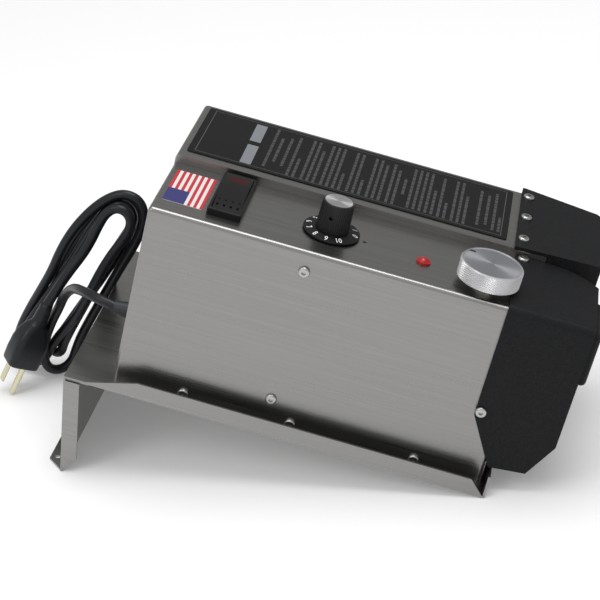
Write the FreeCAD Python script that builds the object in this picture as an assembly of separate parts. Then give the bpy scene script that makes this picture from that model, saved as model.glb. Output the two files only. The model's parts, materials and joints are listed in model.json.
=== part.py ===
import FreeCAD, Part
import math
import os

from FreeCAD import Placement, Rotation, Vector

# Electric knife sharpener on a tilted stand.
# Everything but the cord is drawn in the machine's own frame, in millimetres:
# X runs along the tray to the guarded wheels at the front, Y away from the
# control side, Z square to the tray.  place() then stands it on the table.

# Stand
TRAY_LENGTH = 305.0
TRAY_WIDTH = 205.0
SHEET = 1.5
LIP_HEIGHT = 12.0
LIP_TAPER_START = 11.0
LIP_TAPER_END = 52.0
FRONT_LIP_HEIGHT = 16.0
LEG_LENGTH = 78.3
LEG_SPLAY = 7.6
LEG_FLANGE = 11.5
FOOT_WIDTH = 12.6
FOOT_MITRE = 14.6
FOOT_HOLE_RADIUS = 2.2
FOOT_HOLE_INSET = 17.0

# Housings
HOUSING_REAR = 32.0
HOUSING_FRONT = 300.0
NEAR_FACE = 13.5
STEP_FACE = 92.5
FAR_FACE = TRAY_WIDTH - NEAR_FACE
NEAR_TOP = 140.5
FAR_TOP = 147.0
STEP_FRONT = 302.5
STEP_FLANGE_BOTTOM = 128.0
BEND_RADIUS = 3.0
CORNER_FLANGE = 12.0
CORNER_FLANGE_TOP = 50.0
LAP_BOTTOM = 120.0
GUARD_TONGUE = 12.0

# Guards
GUARD_SHEET = 2.5
GUARD_REAR = 281.5
GUARD_FRONT = 341.5
GUARD_LOW_CORNER = 56.0
GUARD_BOTTOM = 18.5
GUARD_EDGE_RADIUS = 6.0
BROW_DEPTH = 5.0
BROW_BOTTOM = 98.0
SLOT_FAR_EDGE = 91.0

# Chassis
PAN_SHEET = 2.0
PAN_FLANGE_TOP = 14.0
FRONT_PLATE_X = 272.0
REAR_PLATE_X = 188.0
PLATE_THICKNESS = 8.0
PLATE_TOP = 118.0

# Grinding shafts
SHAFT_HEIGHT = 86.0
SHAFT_RADIUS = 8.0
RUNNING_GAP = 0.05
SLOT_CENTRE = 88.0
SHAFT_SPACING = 69.0
NEAR_AXIS = SLOT_CENTRE - SHAFT_SPACING / 2
FAR_AXIS = SLOT_CENTRE + SHAFT_SPACING / 2
WHEEL_RADIUS = 38.0
WHEEL_WIDTH = 7.0
WHEEL_PITCH = 16.0
WHEEL_COUNT = 3
NEAR_WHEEL_START = 284.0
FAR_WHEEL_START = NEAR_WHEEL_START + WHEEL_PITCH / 2
BEARING_RADIUS = 15.0
BEARING_WIDTH = 10.0
GEAR_X = 200.0
GEAR_WIDTH = 11.0
GEAR_TEETH = 17
GEAR_MODULE = 4.0

# Belt drive
MOTOR_HEIGHT = 38.0
MOTOR_RADIUS = 32.0
MOTOR_REAR = 62.0
MOTOR_FRONT = 158.0
MOTOR_SHAFT_RADIUS = 5.0
PULLEY_X = 170.0
PULLEY_WIDTH = 13.0
NEAR_PULLEY_RADIUS = 26.0
MOTOR_PULLEY_RADIUS = 13.0
BELT_WIDTH = 9.0
BELT_THICKNESS = 2.0
CURVED_GAP = 0.3

# Angle setting
ANGLE_KNOB_X = 264.0
ANGLE_KNOB_Y = 36.5
ANGLE_KNOB_RADIUS = 22.0
ANGLE_KNOB_BOTTOM = 145.5
ANGLE_KNOB_TOP = 158.5
SPINDLE_RADIUS = 4.0
CAM_RADIUS = 7.0
CAM_RISE_PER_TURN = 6.0
ANGLE_TURN = 270.0
CAM_BOTTOM = 99.0
CAM_TOP = 107.0
CARRIAGE_TRAVEL = CAM_RISE_PER_TURN * ANGLE_TURN / 360
CARRIAGE_REAR = 220.0
CARRIAGE_FRONT = 260.5
CARRIAGE_HALF_WIDTH = 18.0
CARRIAGE_BOTTOM = 48.0
CARRIAGE_TOP = 110.0
ROD_RADIUS = 4.0
ROD_HEIGHT = 57.0
ROD_X = (228.0, 252.0)

# Controls on the near top
SPEED_KNOB_X = 153.3
SPEED_KNOB_Y = 51.8
SKIRT_RADIUS = 20.0
KNOB_BASE_RADIUS = 13.4
KNOB_TOP_RADIUS = 11.0
KNOB_CAP_RADIUS = 9.7
KNOB_TOP = 164.7
SWITCH_X = 81.0
SWITCH_Y = 58.5
SWITCH_WIDTH = 24.0
SWITCH_LENGTH = 62.0
SWITCH_HEIGHT = 5.0
ROCKER_WIDTH = 19.4
ROCKER_REACH = 27.0
ROCKER_TILT = 6.0
LAMP_X = 219.5
LAMP_Y = 45.6
LAMP_RADIUS = 5.0

# Mains cord
CORD_RADIUS = 3.8
CORD_EXIT_Y = 58.0
CORD_EXIT_Z = 33.0
RELIEF_REACH = 16.0

# The cord's routes and its loose hank are given in the finished part's frame
LEAD_ROUTE = [(-148.2, -44.5, 105.2), (-160.5, -42.8, 109.6), (-171.8, -35.5, 110.3), (-181.5, -24.0, 107.2),
              (-190.0, -10.5, 101.3), (-198.5, 3.0, 92.5), (-207.5, 15.0, 80.8), (-214.8, 25.5, 67.0),
              (-218.5, 33.5, 52.5)]
TAIL_ROUTE = [(-222.3, 18.6, 71.4), (-215.6, 21.2, 85.5), (-208.2, 25.0, 99.0), (-199.2, 30.5, 111.2)]
HANK_NEAR = 28.0
HANK_FAR = 56.5
HANK_OUTLINE = [(-258, 0), (-216, 0), (-208, 12), (-197, 34), (-178, 76), (-160, 103), (-150, 120), (-143, 137),
                (-143.5, 150), (-150, 158), (-162, 160), (-176, 156), (-192, 144), (-208, 126), (-220, 105), (-230, 84),
                (-246, 61), (-261, 35), (-265, 20), (-264, 7)]

# Mains plug: the middle of its pin face, and where its length and width point
PLUG_FACE = Vector(-248.0, 9.2, 20.2)
PLUG_LENGTH_DIRECTION = Vector(0.44, 0.16, 0.88)
PLUG_WIDTH_DIRECTION = Vector(0.689, 0.571, -0.444)
PLUG_BODY = 40.0
PLUG_NECK = 18.0
BLADE_SPACING = 12.7

# Screws
SCREW_HEAD_RADIUS = 4.0
SCREW_HEAD_HEIGHT = 2.4
SCREW_SHANK_RADIUS = 2.0
SCREW_HOLE_RADIUS = 2.2
SCREW_RECESS_RADIUS = 1.6

leg_run = LEG_LENGTH * math.sin(math.radians(LEG_SPLAY))
leg_drop = LEG_LENGTH * math.cos(math.radians(LEG_SPLAY))
TILT = math.degrees(math.atan2(leg_drop, TRAY_LENGTH - leg_run))

AXIS_X = Vector(1, 0, 0)
AXIS_Y = Vector(0, 1, 0)
AXIS_Z = Vector(0, 0, 1)


# ---------------------------------------------------------------- helpers

def box(x0, x1, y0, y1, z0, z1):
    return Part.makeBox(x1 - x0, y1 - y0, z1 - z0, Vector(x0, y0, z0))


def rod(radius, start, axis, length):
    return Part.makeCylinder(radius, length, Vector(*start), axis)


def ring(outer, inner, start, axis, length):
    return rod(outer, start, axis, length).cut(rod(inner, start, axis, length))


def prism(points, push):
    """Extrude a closed polygon of (x, y, z) points along a vector."""
    corners = [Vector(*point) for point in points]
    wire = Part.makePolygon(corners + corners[:1])
    return Part.Face(wire).extrude(push)


def side_prism(points, y0, y1):
    """Extrude an outline given in X and Z from y0 to y1."""
    return prism([(x, y0, z) for x, z in points], Vector(0, y1 - y0, 0))


def plan_prism(points, z0, z1):
    """Extrude an outline given in X and Y from z0 to z1."""
    return prism([(x, y, z0) for x, y in points], Vector(0, 0, z1 - z0))


def fillet(shape, radius, chosen):
    edges = [edge for edge in shape.Edges if chosen(edge)]
    return shape.makeFillet(radius, edges)


def straight_along(edge, axis):
    if not isinstance(edge.Curve, Part.Line):
        return False
    return abs(edge.Curve.Direction.dot(axis)) > 0.999


def middle(edge):
    return edge.CenterOfMass


def join(shapes):
    return shapes[0].multiFuse(shapes[1:]).removeSplitter() if len(shapes) > 1 else shapes[0]


def group(solids):
    return Part.makeCompound(solids)


def screw(point, outward, shank):
    """A pan-head screw whose head rests on a face at point."""
    head = rod(SCREW_HEAD_RADIUS, point, outward, SCREW_HEAD_HEIGHT)
    crown = Vector(*point) + outward * SCREW_HEAD_HEIGHT
    rim = [edge for edge in head.Edges
           if isinstance(edge.Curve, Part.Circle) and (middle(edge) - crown).Length < 0.1]
    head = head.makeFillet(SCREW_HEAD_HEIGHT * 0.6, rim)
    body = rod(SCREW_SHANK_RADIUS, point, outward * -1, shank)
    recess = rod(SCREW_RECESS_RADIUS, Vector(*point) + outward * (SCREW_HEAD_HEIGHT * 0.4), outward, SCREW_HEAD_HEIGHT)
    return head.fuse(body).cut(recess)


# ---------------------------------------------------------------- stand

def stand_tray():
    floor = box(0, TRAY_LENGTH, 0, TRAY_WIDTH, 0, SHEET)
    outline = [(LIP_TAPER_START, 0), (TRAY_LENGTH - 1, 0), (TRAY_LENGTH - LIP_HEIGHT, LIP_HEIGHT),
               (LIP_TAPER_END, LIP_HEIGHT)]
    near_lip = side_prism(outline, 0, SHEET)
    far_lip = side_prism(outline, TRAY_WIDTH - SHEET, TRAY_WIDTH)
    front = [(0, 0), (TRAY_WIDTH, 0), (TRAY_WIDTH - 3, FRONT_LIP_HEIGHT), (3, FRONT_LIP_HEIGHT)]
    front_lip = prism([(TRAY_LENGTH - SHEET, y, z) for y, z in front], Vector(SHEET, 0, 0))
    tray = join([floor, near_lip, far_lip, front_lip])
    for x, y in tray_bolt_places():
        tray = tray.cut(rod(SCREW_HOLE_RADIUS, (x, y, -1), AXIS_Z, SHEET + 2))
    return tray


def tray_bolt_places():
    return [(x, y) for x in (75.0, 230.0) for y in (40.0, TRAY_WIDTH - 40.0)]


def leg_point(down, forward):
    """A point in X and Z, measured down the leg and forward of its rear face."""
    angle = math.radians(LEG_SPLAY)
    x = down * math.sin(angle) + forward * math.cos(angle)
    z = -down * math.cos(angle) + forward * math.sin(angle)
    return (x, z)


def stand_leg():
    plate_outline = [leg_point(0.3, 0), leg_point(LEG_LENGTH, 0), leg_point(LEG_LENGTH, SHEET), leg_point(0.3, SHEET)]
    plate = side_prism(plate_outline, 0, TRAY_WIDTH)
    flange_outline = [leg_point(2.0, 0), leg_point(LEG_LENGTH, 0),
                      leg_point(LEG_LENGTH - LEG_FLANGE, LEG_FLANGE), leg_point(3.5, LEG_FLANGE)]
    near_flange = side_prism(flange_outline, 0, SHEET)
    far_flange = side_prism(flange_outline, TRAY_WIDTH - SHEET, TRAY_WIDTH)
    weld_flange = box(0, 18, SHEET, TRAY_WIDTH - SHEET, -SHEET, 0)
    trim = box(-20, 40, -1, TRAY_WIDTH + 1, 0, 20)
    return join([plate, near_flange, far_flange, weld_flange, leg_foot()]).cut(trim)


def leg_foot():
    """The foot lies flat on the table, so it is drawn level and turned back."""
    plan = [(0, 0), (-FOOT_WIDTH, FOOT_MITRE), (-FOOT_WIDTH, TRAY_WIDTH - FOOT_MITRE), (0, TRAY_WIDTH)]
    foot = plan_prism([(x + SHEET * 0.5, y) for x, y in plan], 0, SHEET)
    for y in (FOOT_HOLE_INSET, TRAY_WIDTH - FOOT_HOLE_INSET):
        foot = foot.cut(rod(FOOT_HOLE_RADIUS, (-FOOT_WIDTH / 2, y, -1), AXIS_Z, SHEET + 2))
    heel = leg_point(LEG_LENGTH, 0)
    foot.Placement = Placement(Vector(heel[0], 0, heel[1]), Rotation(AXIS_Y, -TILT))
    return foot


# ---------------------------------------------------------------- housings

def near_housing():
    outer = box(HOUSING_REAR, HOUSING_FRONT, NEAR_FACE, STEP_FACE, SHEET, NEAR_TOP)
    outer = fillet(outer, BEND_RADIUS, near_outer_edge)
    inner = box(HOUSING_REAR + SHEET, HOUSING_FRONT + 1, NEAR_FACE + SHEET, STEP_FACE + 1, 0, NEAR_TOP - SHEET)
    shell = outer.cut(inner)
    lap = box(HOUSING_REAR + SHEET, GUARD_REAR, STEP_FACE - SHEET, STEP_FACE, LAP_BOTTOM, NEAR_TOP - SHEET)
    corner = box(HOUSING_FRONT - SHEET, HOUSING_FRONT, NEAR_FACE + SHEET,
                 NEAR_FACE + CORNER_FLANGE, SHEET, CORNER_FLANGE_TOP)
    wheel_opening = box(GUARD_REAR + GUARD_TONGUE, HOUSING_FRONT + 1, NEAR_FACE + CORNER_FLANGE, STEP_FACE + 1,
                        NEAR_TOP - SHEET - 1, NEAR_TOP + 1)
    guard_wall_room = box(GUARD_REAR, HOUSING_FRONT + 1, STEP_FACE - 3.3, STEP_FACE + 1,
                          NEAR_TOP - SHEET - 1, NEAR_TOP + 1)
    shell = join([shell, lap, corner]).cut(wheel_opening).cut(guard_wall_room)
    for hole in near_housing_holes():
        shell = shell.cut(hole)
    return shell


def near_outer_edge(edge):
    spot = middle(edge)
    along_top = straight_along(edge, AXIS_X) and spot.z > NEAR_TOP - 1 and spot.y < NEAR_FACE + 1
    rear_upright = straight_along(edge, AXIS_Z) and spot.x < HOUSING_REAR + 1 and spot.y < NEAR_FACE + 1
    rear_top = straight_along(edge, AXIS_Y) and spot.x < HOUSING_REAR + 1 and spot.z > NEAR_TOP - 1
    front_upright = straight_along(edge, AXIS_Z) and spot.x > HOUSING_FRONT - 1 and spot.y < NEAR_FACE + 1
    return along_top or rear_upright or rear_top or front_upright


def near_housing_holes():
    top = NEAR_TOP - SHEET - 1
    holes = [rod(6.3, (SPEED_KNOB_X, SPEED_KNOB_Y, top), AXIS_Z, 4)]
    holes.append(rod(6.0, (ANGLE_KNOB_X, ANGLE_KNOB_Y, top), AXIS_Z, 4))
    holes.append(rod(4.2, (LAMP_X, LAMP_Y, top), AXIS_Z, 4))
    holes.append(box(SWITCH_X - 10.6, SWITCH_X + 10.6, SWITCH_Y - 29, SWITCH_Y + 29, top, top + 4))
    holes.append(rod(7.0, (HOUSING_REAR - 1, CORD_EXIT_Y, CORD_EXIT_Z), AXIS_X, 4))
    for x, z in near_screw_places():
        holes.append(rod(SCREW_HOLE_RADIUS, (x, NEAR_FACE - 1, z), AXIS_Y, 5))
    x, z = GUARD_REAR + 3.8, 59.8
    holes.append(rod(SCREW_HOLE_RADIUS, (x, NEAR_FACE - 1, z), AXIS_Y, 5))
    holes.append(rod(SCREW_HOLE_RADIUS, (GUARD_REAR + 5.2, STEP_FACE - 6.0, top), AXIS_Z, 5))
    return holes


def low_screw_xs():
    return (83.0, 161.0, 251.0)


def near_screw_places():
    return [(x, 6.3) for x in low_screw_xs()] + [(144.0, 22.0), (144.0, 125.3)]


def far_housing():
    outer = box(HOUSING_REAR, STEP_FRONT, STEP_FACE, FAR_FACE, SHEET, FAR_TOP)
    outer = fillet(outer, BEND_RADIUS, far_outer_edge)
    inner = box(HOUSING_REAR + SHEET, STEP_FRONT + 1, STEP_FACE + SHEET, FAR_FACE - SHEET, 0, FAR_TOP - SHEET)
    shell = outer.cut(inner)
    below_flange = box(HOUSING_REAR + SHEET, STEP_FRONT + 1, STEP_FACE - 1, STEP_FACE + SHEET + 0.5, 0,
                       STEP_FLANGE_BOTTOM)
    side_trim = box(HOUSING_FRONT, STEP_FRONT + 1, STEP_FACE + SHEET + 6, FAR_FACE + 1, 0, FAR_TOP + 1)
    shell = shell.cut(below_flange).cut(side_trim)
    for x, z in far_screw_places():
        shell = shell.cut(rod(SCREW_HOLE_RADIUS, (x, FAR_FACE - 3, z), AXIS_Y, 5))
    for y in far_top_screw_ys():
        shell = shell.cut(rod(SCREW_HOLE_RADIUS, (GUARD_REAR + 2.5, y, FAR_TOP - 3), AXIS_Z, 5))
    return shell


def far_outer_edge(edge):
    spot = middle(edge)
    top_edge = straight_along(edge, AXIS_X) and spot.z > FAR_TOP - 1
    rear_top = straight_along(edge, AXIS_Y) and spot.x < HOUSING_REAR + 1 and spot.z > FAR_TOP - 1
    far_upright = straight_along(edge, AXIS_Z) and spot.x < HOUSING_REAR + 1 and spot.y > FAR_FACE - 1
    return (top_edge and spot.y > FAR_FACE - 1) or rear_top or far_upright


def far_screw_places():
    return [(x, 6.3) for x in low_screw_xs()] + [(GUARD_REAR + 3.8, 59.8)]


def far_top_screw_ys():
    return (104.8, 141.5, 177.7)


# ---------------------------------------------------------------- guards

def guard_profile(top, rear=GUARD_REAR):
    """Side outline of a guard's cover."""
    return [(rear, top), (rear, GUARD_LOW_CORNER), (GUARD_REAR + 20, GUARD_BOTTOM),
            (GUARD_FRONT - 14, GUARD_BOTTOM + 3), (GUARD_FRONT, 48), (GUARD_FRONT, top)]


def guard_room(top):
    """Side outline of the space inside a guard, open to the rear."""
    skin = GUARD_SHEET
    rear = GUARD_REAR - 20
    return [(rear, top - skin), (rear, 0), (GUARD_REAR + 20, 0), (GUARD_REAR + 20, GUARD_BOTTOM + skin),
            (GUARD_FRONT - 15, GUARD_BOTTOM + 3 + skin), (GUARD_FRONT - skin, 48.5), (GUARD_FRONT - skin, top - skin)]


def flare(skin):
    """The slot edge of the near guard in plan, curving away towards the front."""
    start = Vector(STEP_FRONT + 2, STEP_FACE - 0.5 - skin, 0)
    bend = Vector(326 - skin * 0.3, 87 - skin, 0)
    end = Vector(GUARD_FRONT + 6, 66 - skin, 0)
    return Part.Arc(start, bend, end).toShape()


def near_guard_plan(skin, z0, z1):
    near = NEAR_FACE - GUARD_SHEET + skin
    curve = flare(skin)
    start = curve.Vertexes[0].Point
    end = curve.Vertexes[-1].Point
    corners = [end, Vector(end.x, near, 0), Vector(GUARD_REAR - 30, near, 0), Vector(GUARD_REAR - 30, start.y, 0), start]
    lines = [Part.LineSegment(a, b).toShape() for a, b in zip(corners, corners[1:])]
    face = Part.Face(Part.Wire([curve] + lines))
    face.translate(Vector(0, 0, z0))
    return face.extrude(Vector(0, 0, z1 - z0))


def near_guard():
    top = NEAR_TOP + GUARD_SHEET
    near = NEAR_FACE - GUARD_SHEET
    outer = side_prism(guard_profile(top), near, STEP_FACE)
    outer = fillet(outer, GUARD_EDGE_RADIUS,
                   lambda edge: straight_along(edge, AXIS_X) and middle(edge).z > top - 1 and middle(edge).y < NEAR_FACE)
    outer = outer.common(near_guard_plan(0, 0, top + 1))
    inner = side_prism(guard_room(top), near + GUARD_SHEET, STEP_FACE + 1)
    inner = inner.common(near_guard_plan(GUARD_SHEET, -1, top + 1))
    shell = outer.cut(inner)
    below_slot_lip = box(GUARD_REAR - 5, GUARD_FRONT - GUARD_SHEET, NEAR_FACE + 4, STEP_FACE + 1,
                         GUARD_BOTTOM + 6, top - 14)
    shell = shell.cut(below_slot_lip.common(side_prism(guard_room(top), 0, STEP_FACE + 1)))
    shell = join([shell, guard_brow(top)])
    shell = shell.cut(rod(SCREW_HOLE_RADIUS, (GUARD_REAR + 3.8, near - 1, 59.8), AXIS_Y, 5))
    return shell.cut(rod(SCREW_HOLE_RADIUS, (GUARD_REAR + 5.2, STEP_FACE - 6.0, NEAR_TOP - 1), AXIS_Z, 5))


def guard_brow(top):
    """The raised pad across the top of the near guard's front wall."""
    pad = box(GUARD_FRONT - 1, GUARD_FRONT + BROW_DEPTH, NEAR_FACE - 0.5, 62, BROW_BOTTOM, top - 4)
    return fillet(pad, 3.5, lambda edge: middle(edge).x > GUARD_FRONT + 1)


def far_guard_plan(skin, z0, z1):
    rear = GUARD_REAR - (30 if skin else 2.5)
    points = [(rear, SLOT_FAR_EDGE + skin), (GUARD_FRONT - skin, SLOT_FAR_EDGE + 4 + skin),
              (GUARD_FRONT - skin, FAR_FACE + GUARD_SHEET - 16 - skin),
              (GUARD_FRONT - 5 - skin * 0.6, FAR_FACE + GUARD_SHEET - 11 - skin),
              (GUARD_REAR, FAR_FACE + GUARD_SHEET - skin), (rear, FAR_FACE + GUARD_SHEET - skin)]
    return plan_prism(points, z0, z1)


def far_guard():
    top = FAR_TOP + GUARD_SHEET
    outer = far_guard_plan(0, 0, top + 1).common(
        side_prism(guard_profile(top, GUARD_REAR - 2.5), 0, TRAY_WIDTH + 5))
    inner = far_guard_plan(GUARD_SHEET, -1, top + 1).common(side_prism(guard_room(top), 0, TRAY_WIDTH + 5))
    shell = outer.cut(inner)
    strip_room = box(GUARD_REAR - 10, STEP_FRONT + 0.5, SLOT_FAR_EDGE - 1, STEP_FACE + 0.01, 0, FAR_TOP)
    slot_side = box(GUARD_REAR - 10, GUARD_FRONT - GUARD_SHEET, SLOT_FAR_EDGE - 1, STEP_FACE + 12, 0, STEP_FLANGE_BOTTOM)
    shell = shell.cut(strip_room).cut(slot_side)
    wall_room = box(GUARD_REAR - 10, STEP_FRONT + 0.5, STEP_FACE, FAR_FACE, 0, FAR_TOP)
    shell = shell.cut(wall_room)
    shell = shell.cut(rod(SCREW_HOLE_RADIUS, (GUARD_REAR + 3.8, FAR_FACE - 1, 59.8), AXIS_Y, 5))
    for y in far_top_screw_ys():
        shell = shell.cut(rod(SCREW_HOLE_RADIUS, (GUARD_REAR + 2.5, y, FAR_TOP - 1), AXIS_Z, 5))
    return shell


# ---------------------------------------------------------------- chassis

def chassis_pan():
    pan = box(HOUSING_REAR + 4, HOUSING_FRONT - 4, NEAR_FACE + SHEET, FAR_FACE - SHEET, SHEET, SHEET + PAN_SHEET)
    near_flange = box(HOUSING_REAR + 4, GUARD_REAR - 12, NEAR_FACE + SHEET, NEAR_FACE + SHEET + PAN_SHEET,
                      SHEET, PAN_FLANGE_TOP)
    far_flange = box(HOUSING_REAR + 4, GUARD_REAR - 12, FAR_FACE - SHEET - PAN_SHEET, FAR_FACE - SHEET,
                     SHEET, PAN_FLANGE_TOP)
    pan = join([pan, near_flange, far_flange])
    for x in low_screw_xs():
        pan = pan.cut(rod(SCREW_HOLE_RADIUS, (x, 0, 6.3), AXIS_Y, TRAY_WIDTH))
    for x, y in tray_bolt_places():
        pan = pan.cut(rod(SCREW_HOLE_RADIUS, (x, y, 0), AXIS_Z, 5))
    return pan


def bulkhead(x0, x1):
    """A bearing plate: round seat for the near shaft, long window for the far one."""
    floor = SHEET + PAN_SHEET
    plate = box(x0, x1, NEAR_FACE + 5, FAR_FACE - 5, floor, PLATE_TOP)
    seat = rod(BEARING_RADIUS, (x0 - 1, NEAR_AXIS, SHAFT_HEIGHT), AXIS_X, x1 - x0 + 2)
    left = rod(14, (x0 - 1, FAR_AXIS - 2, SHAFT_HEIGHT), AXIS_X, x1 - x0 + 2)
    right = rod(14, (x0 - 1, FAR_AXIS + CARRIAGE_TRAVEL + 2, SHAFT_HEIGHT), AXIS_X, x1 - x0 + 2)
    window = box(x0 - 1, x1 + 1, FAR_AXIS - 2, FAR_AXIS + CARRIAGE_TRAVEL + 2, SHAFT_HEIGHT - 14, SHAFT_HEIGHT + 14)
    return plate.cut(seat).cut(left).cut(right).cut(window)


def front_bulkhead():
    plate = bulkhead(FRONT_PLATE_X, FRONT_PLATE_X + PLATE_THICKNESS)
    cam_reach = CAM_RADIUS + CAM_RISE_PER_TURN + 1
    cam_room = box(FRONT_PLATE_X - 1, ANGLE_KNOB_X + cam_reach, ANGLE_KNOB_Y - cam_reach - 4,
                   ANGLE_KNOB_Y + cam_reach + 4, CAM_BOTTOM - 8, CAM_TOP + 2)
    return plate.cut(cam_room)


def rear_bulkhead():
    return bulkhead(REAR_PLATE_X, REAR_PLATE_X + PLATE_THICKNESS)


def bearing_at(x, y):
    return ring(BEARING_RADIUS, SHAFT_RADIUS + RUNNING_GAP, (x, y, SHAFT_HEIGHT), AXIS_X, BEARING_WIDTH)


def near_bearings():
    return group([bearing_at(REAR_PLATE_X - 1, NEAR_AXIS), bearing_at(FRONT_PLATE_X - 1, NEAR_AXIS)])


# ---------------------------------------------------------------- motor and belt

def motor_can():
    can = rod(MOTOR_RADIUS, (MOTOR_REAR, NEAR_AXIS, MOTOR_HEIGHT), AXIS_X, MOTOR_FRONT - MOTOR_REAR)
    can = fillet(can, 4, lambda edge: isinstance(edge.Curve, Part.Circle) and middle(edge).x > MOTOR_FRONT - 1)
    bore = rod(MOTOR_RADIUS - 4, (MOTOR_REAR - 1, NEAR_AXIS, MOTOR_HEIGHT), AXIS_X, MOTOR_FRONT - MOTOR_REAR - 5)
    hole = rod(MOTOR_SHAFT_RADIUS + RUNNING_GAP, (MOTOR_REAR, NEAR_AXIS, MOTOR_HEIGHT), AXIS_X, 120)
    return can.cut(bore).cut(hole)


def motor_end_bell():
    bell = rod(MOTOR_RADIUS, (MOTOR_REAR - 12, NEAR_AXIS, MOTOR_HEIGHT), AXIS_X, 12)
    bell = fillet(bell, 6, lambda edge: isinstance(edge.Curve, Part.Circle) and middle(edge).x < MOTOR_REAR - 11)
    socket = rod(MOTOR_SHAFT_RADIUS + RUNNING_GAP, (MOTOR_REAR - 6, NEAR_AXIS, MOTOR_HEIGHT), AXIS_X, 12)
    return bell.cut(socket)


def motor_mount():
    floor = SHEET + PAN_SHEET
    x0, x1 = MOTOR_FRONT, MOTOR_FRONT + 3
    plate = box(x0, x1, NEAR_FACE + SHEET, STEP_FACE - 4, floor, MOTOR_HEIGHT + 30)
    foot = box(x0 - 20, x1, NEAR_FACE + 9, STEP_FACE - 4, floor, floor + 2)
    tab = box(x0 - 24, x1, NEAR_FACE + SHEET, NEAR_FACE + SHEET + 2, PAN_FLANGE_TOP + 1, 34)
    hole = rod(MOTOR_SHAFT_RADIUS + 1, (x0 - 1, NEAR_AXIS, MOTOR_HEIGHT), AXIS_X, 6)
    flange_room = box(x0 - 30, x1 + 1, 0, NEAR_FACE + 9, 0, PAN_FLANGE_TOP + 0.5)
    motor_room = rod(MOTOR_RADIUS + CURVED_GAP, (x0 - 30, NEAR_AXIS, MOTOR_HEIGHT), AXIS_X, 30)
    tab_hole = rod(SCREW_HOLE_RADIUS, (144, 0, 22), AXIS_Y, 30)
    return join([plate, foot, tab]).cut(hole).cut(flange_room).cut(motor_room).cut(tab_hole)


def motor_shaft():
    shaft = rod(MOTOR_SHAFT_RADIUS, (MOTOR_REAR - 5.5, NEAR_AXIS, MOTOR_HEIGHT), AXIS_X, PULLEY_X + 17 - MOTOR_REAR)
    core = rod(MOTOR_RADIUS - 8, (MOTOR_REAR + 14, NEAR_AXIS, MOTOR_HEIGHT), AXIS_X, 56)
    windings = rod(MOTOR_RADIUS - 12, (MOTOR_REAR + 8, NEAR_AXIS, MOTOR_HEIGHT), AXIS_X, 68)
    return join([shaft, core, windings])


def pulley(radius, bore, height):
    spot = (PULLEY_X, NEAR_AXIS, height)
    drum = rod(radius, spot, AXIS_X, PULLEY_WIDTH)
    rim = 1.5
    flanges = [rod(radius + 3, (x, NEAR_AXIS, height), AXIS_X, rim) for x in (PULLEY_X, PULLEY_X + PULLEY_WIDTH - rim)]
    return join([drum] + flanges).cut(rod(bore, spot, AXIS_X, PULLEY_WIDTH))


def motor_pulley():
    return pulley(MOTOR_PULLEY_RADIUS, MOTOR_SHAFT_RADIUS, MOTOR_HEIGHT)


def near_pulley():
    return pulley(NEAR_PULLEY_RADIUS, SHAFT_RADIUS, SHAFT_HEIGHT)


def belt_loop(offset):
    """The face inside a loop round both pulleys, offset out from their drums."""
    big, small = NEAR_PULLEY_RADIUS + offset, MOTOR_PULLEY_RADIUS + offset
    gap = SHAFT_HEIGHT - MOTOR_HEIGHT
    lean = math.asin((big - small) / gap)
    side, up = math.cos(lean), -math.sin(lean)
    high = [Vector(0, NEAR_AXIS + s * big * side, SHAFT_HEIGHT + big * up) for s in (-1, 1)]
    low = [Vector(0, NEAR_AXIS + s * small * side, MOTOR_HEIGHT + small * up) for s in (-1, 1)]
    crown = Part.Arc(high[0], Vector(0, NEAR_AXIS, SHAFT_HEIGHT + big), high[1]).toShape()
    foot = Part.Arc(low[1], Vector(0, NEAR_AXIS, MOTOR_HEIGHT - small), low[0]).toShape()
    right = Part.LineSegment(high[1], low[1]).toShape()
    left = Part.LineSegment(low[0], high[0]).toShape()
    return Part.Face(Part.Wire([crown, right, foot, left]))


def drive_belt():
    outer = belt_loop(CURVED_GAP + BELT_THICKNESS).extrude(Vector(BELT_WIDTH, 0, 0))
    inner = belt_loop(CURVED_GAP).extrude(Vector(BELT_WIDTH, 0, 0))
    belt = outer.cut(inner)
    belt.translate(Vector(PULLEY_X + (PULLEY_WIDTH - BELT_WIDTH) / 2, 0, 0))
    return belt


# ---------------------------------------------------------------- grinding shafts

def grinding_shaft(y, x0, x1):
    shaft = rod(SHAFT_RADIUS, (x0, y, SHAFT_HEIGHT), AXIS_X, x1 - x0)
    return shaft.makeChamfer(1.0, [edge for edge in shaft.Edges if isinstance(edge.Curve, Part.Circle)])


def wheels(y, start):
    stack = []
    for index in range(WHEEL_COUNT):
        x = start + index * WHEEL_PITCH
        wheel = ring(WHEEL_RADIUS, SHAFT_RADIUS, (x, y, SHAFT_HEIGHT), AXIS_X, WHEEL_WIDTH)
        rims = [edge for edge in wheel.Edges
                if isinstance(edge.Curve, Part.Circle) and edge.Curve.Radius > SHAFT_RADIUS + 1]
        stack.append(wheel.makeChamfer(0.8, rims))
    return group(stack)


def spacers(y, start):
    sleeves = []
    hub = 13.0
    edges = [FRONT_PLATE_X + PLATE_THICKNESS + 1.5]
    for index in range(WHEEL_COUNT):
        x = start + index * WHEEL_PITCH
        sleeves.append(ring(hub, SHAFT_RADIUS, (edges[-1], y, SHAFT_HEIGHT), AXIS_X, x - edges[-1]))
        edges.append(x + WHEEL_WIDTH)
    return group(sleeves)


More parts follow.
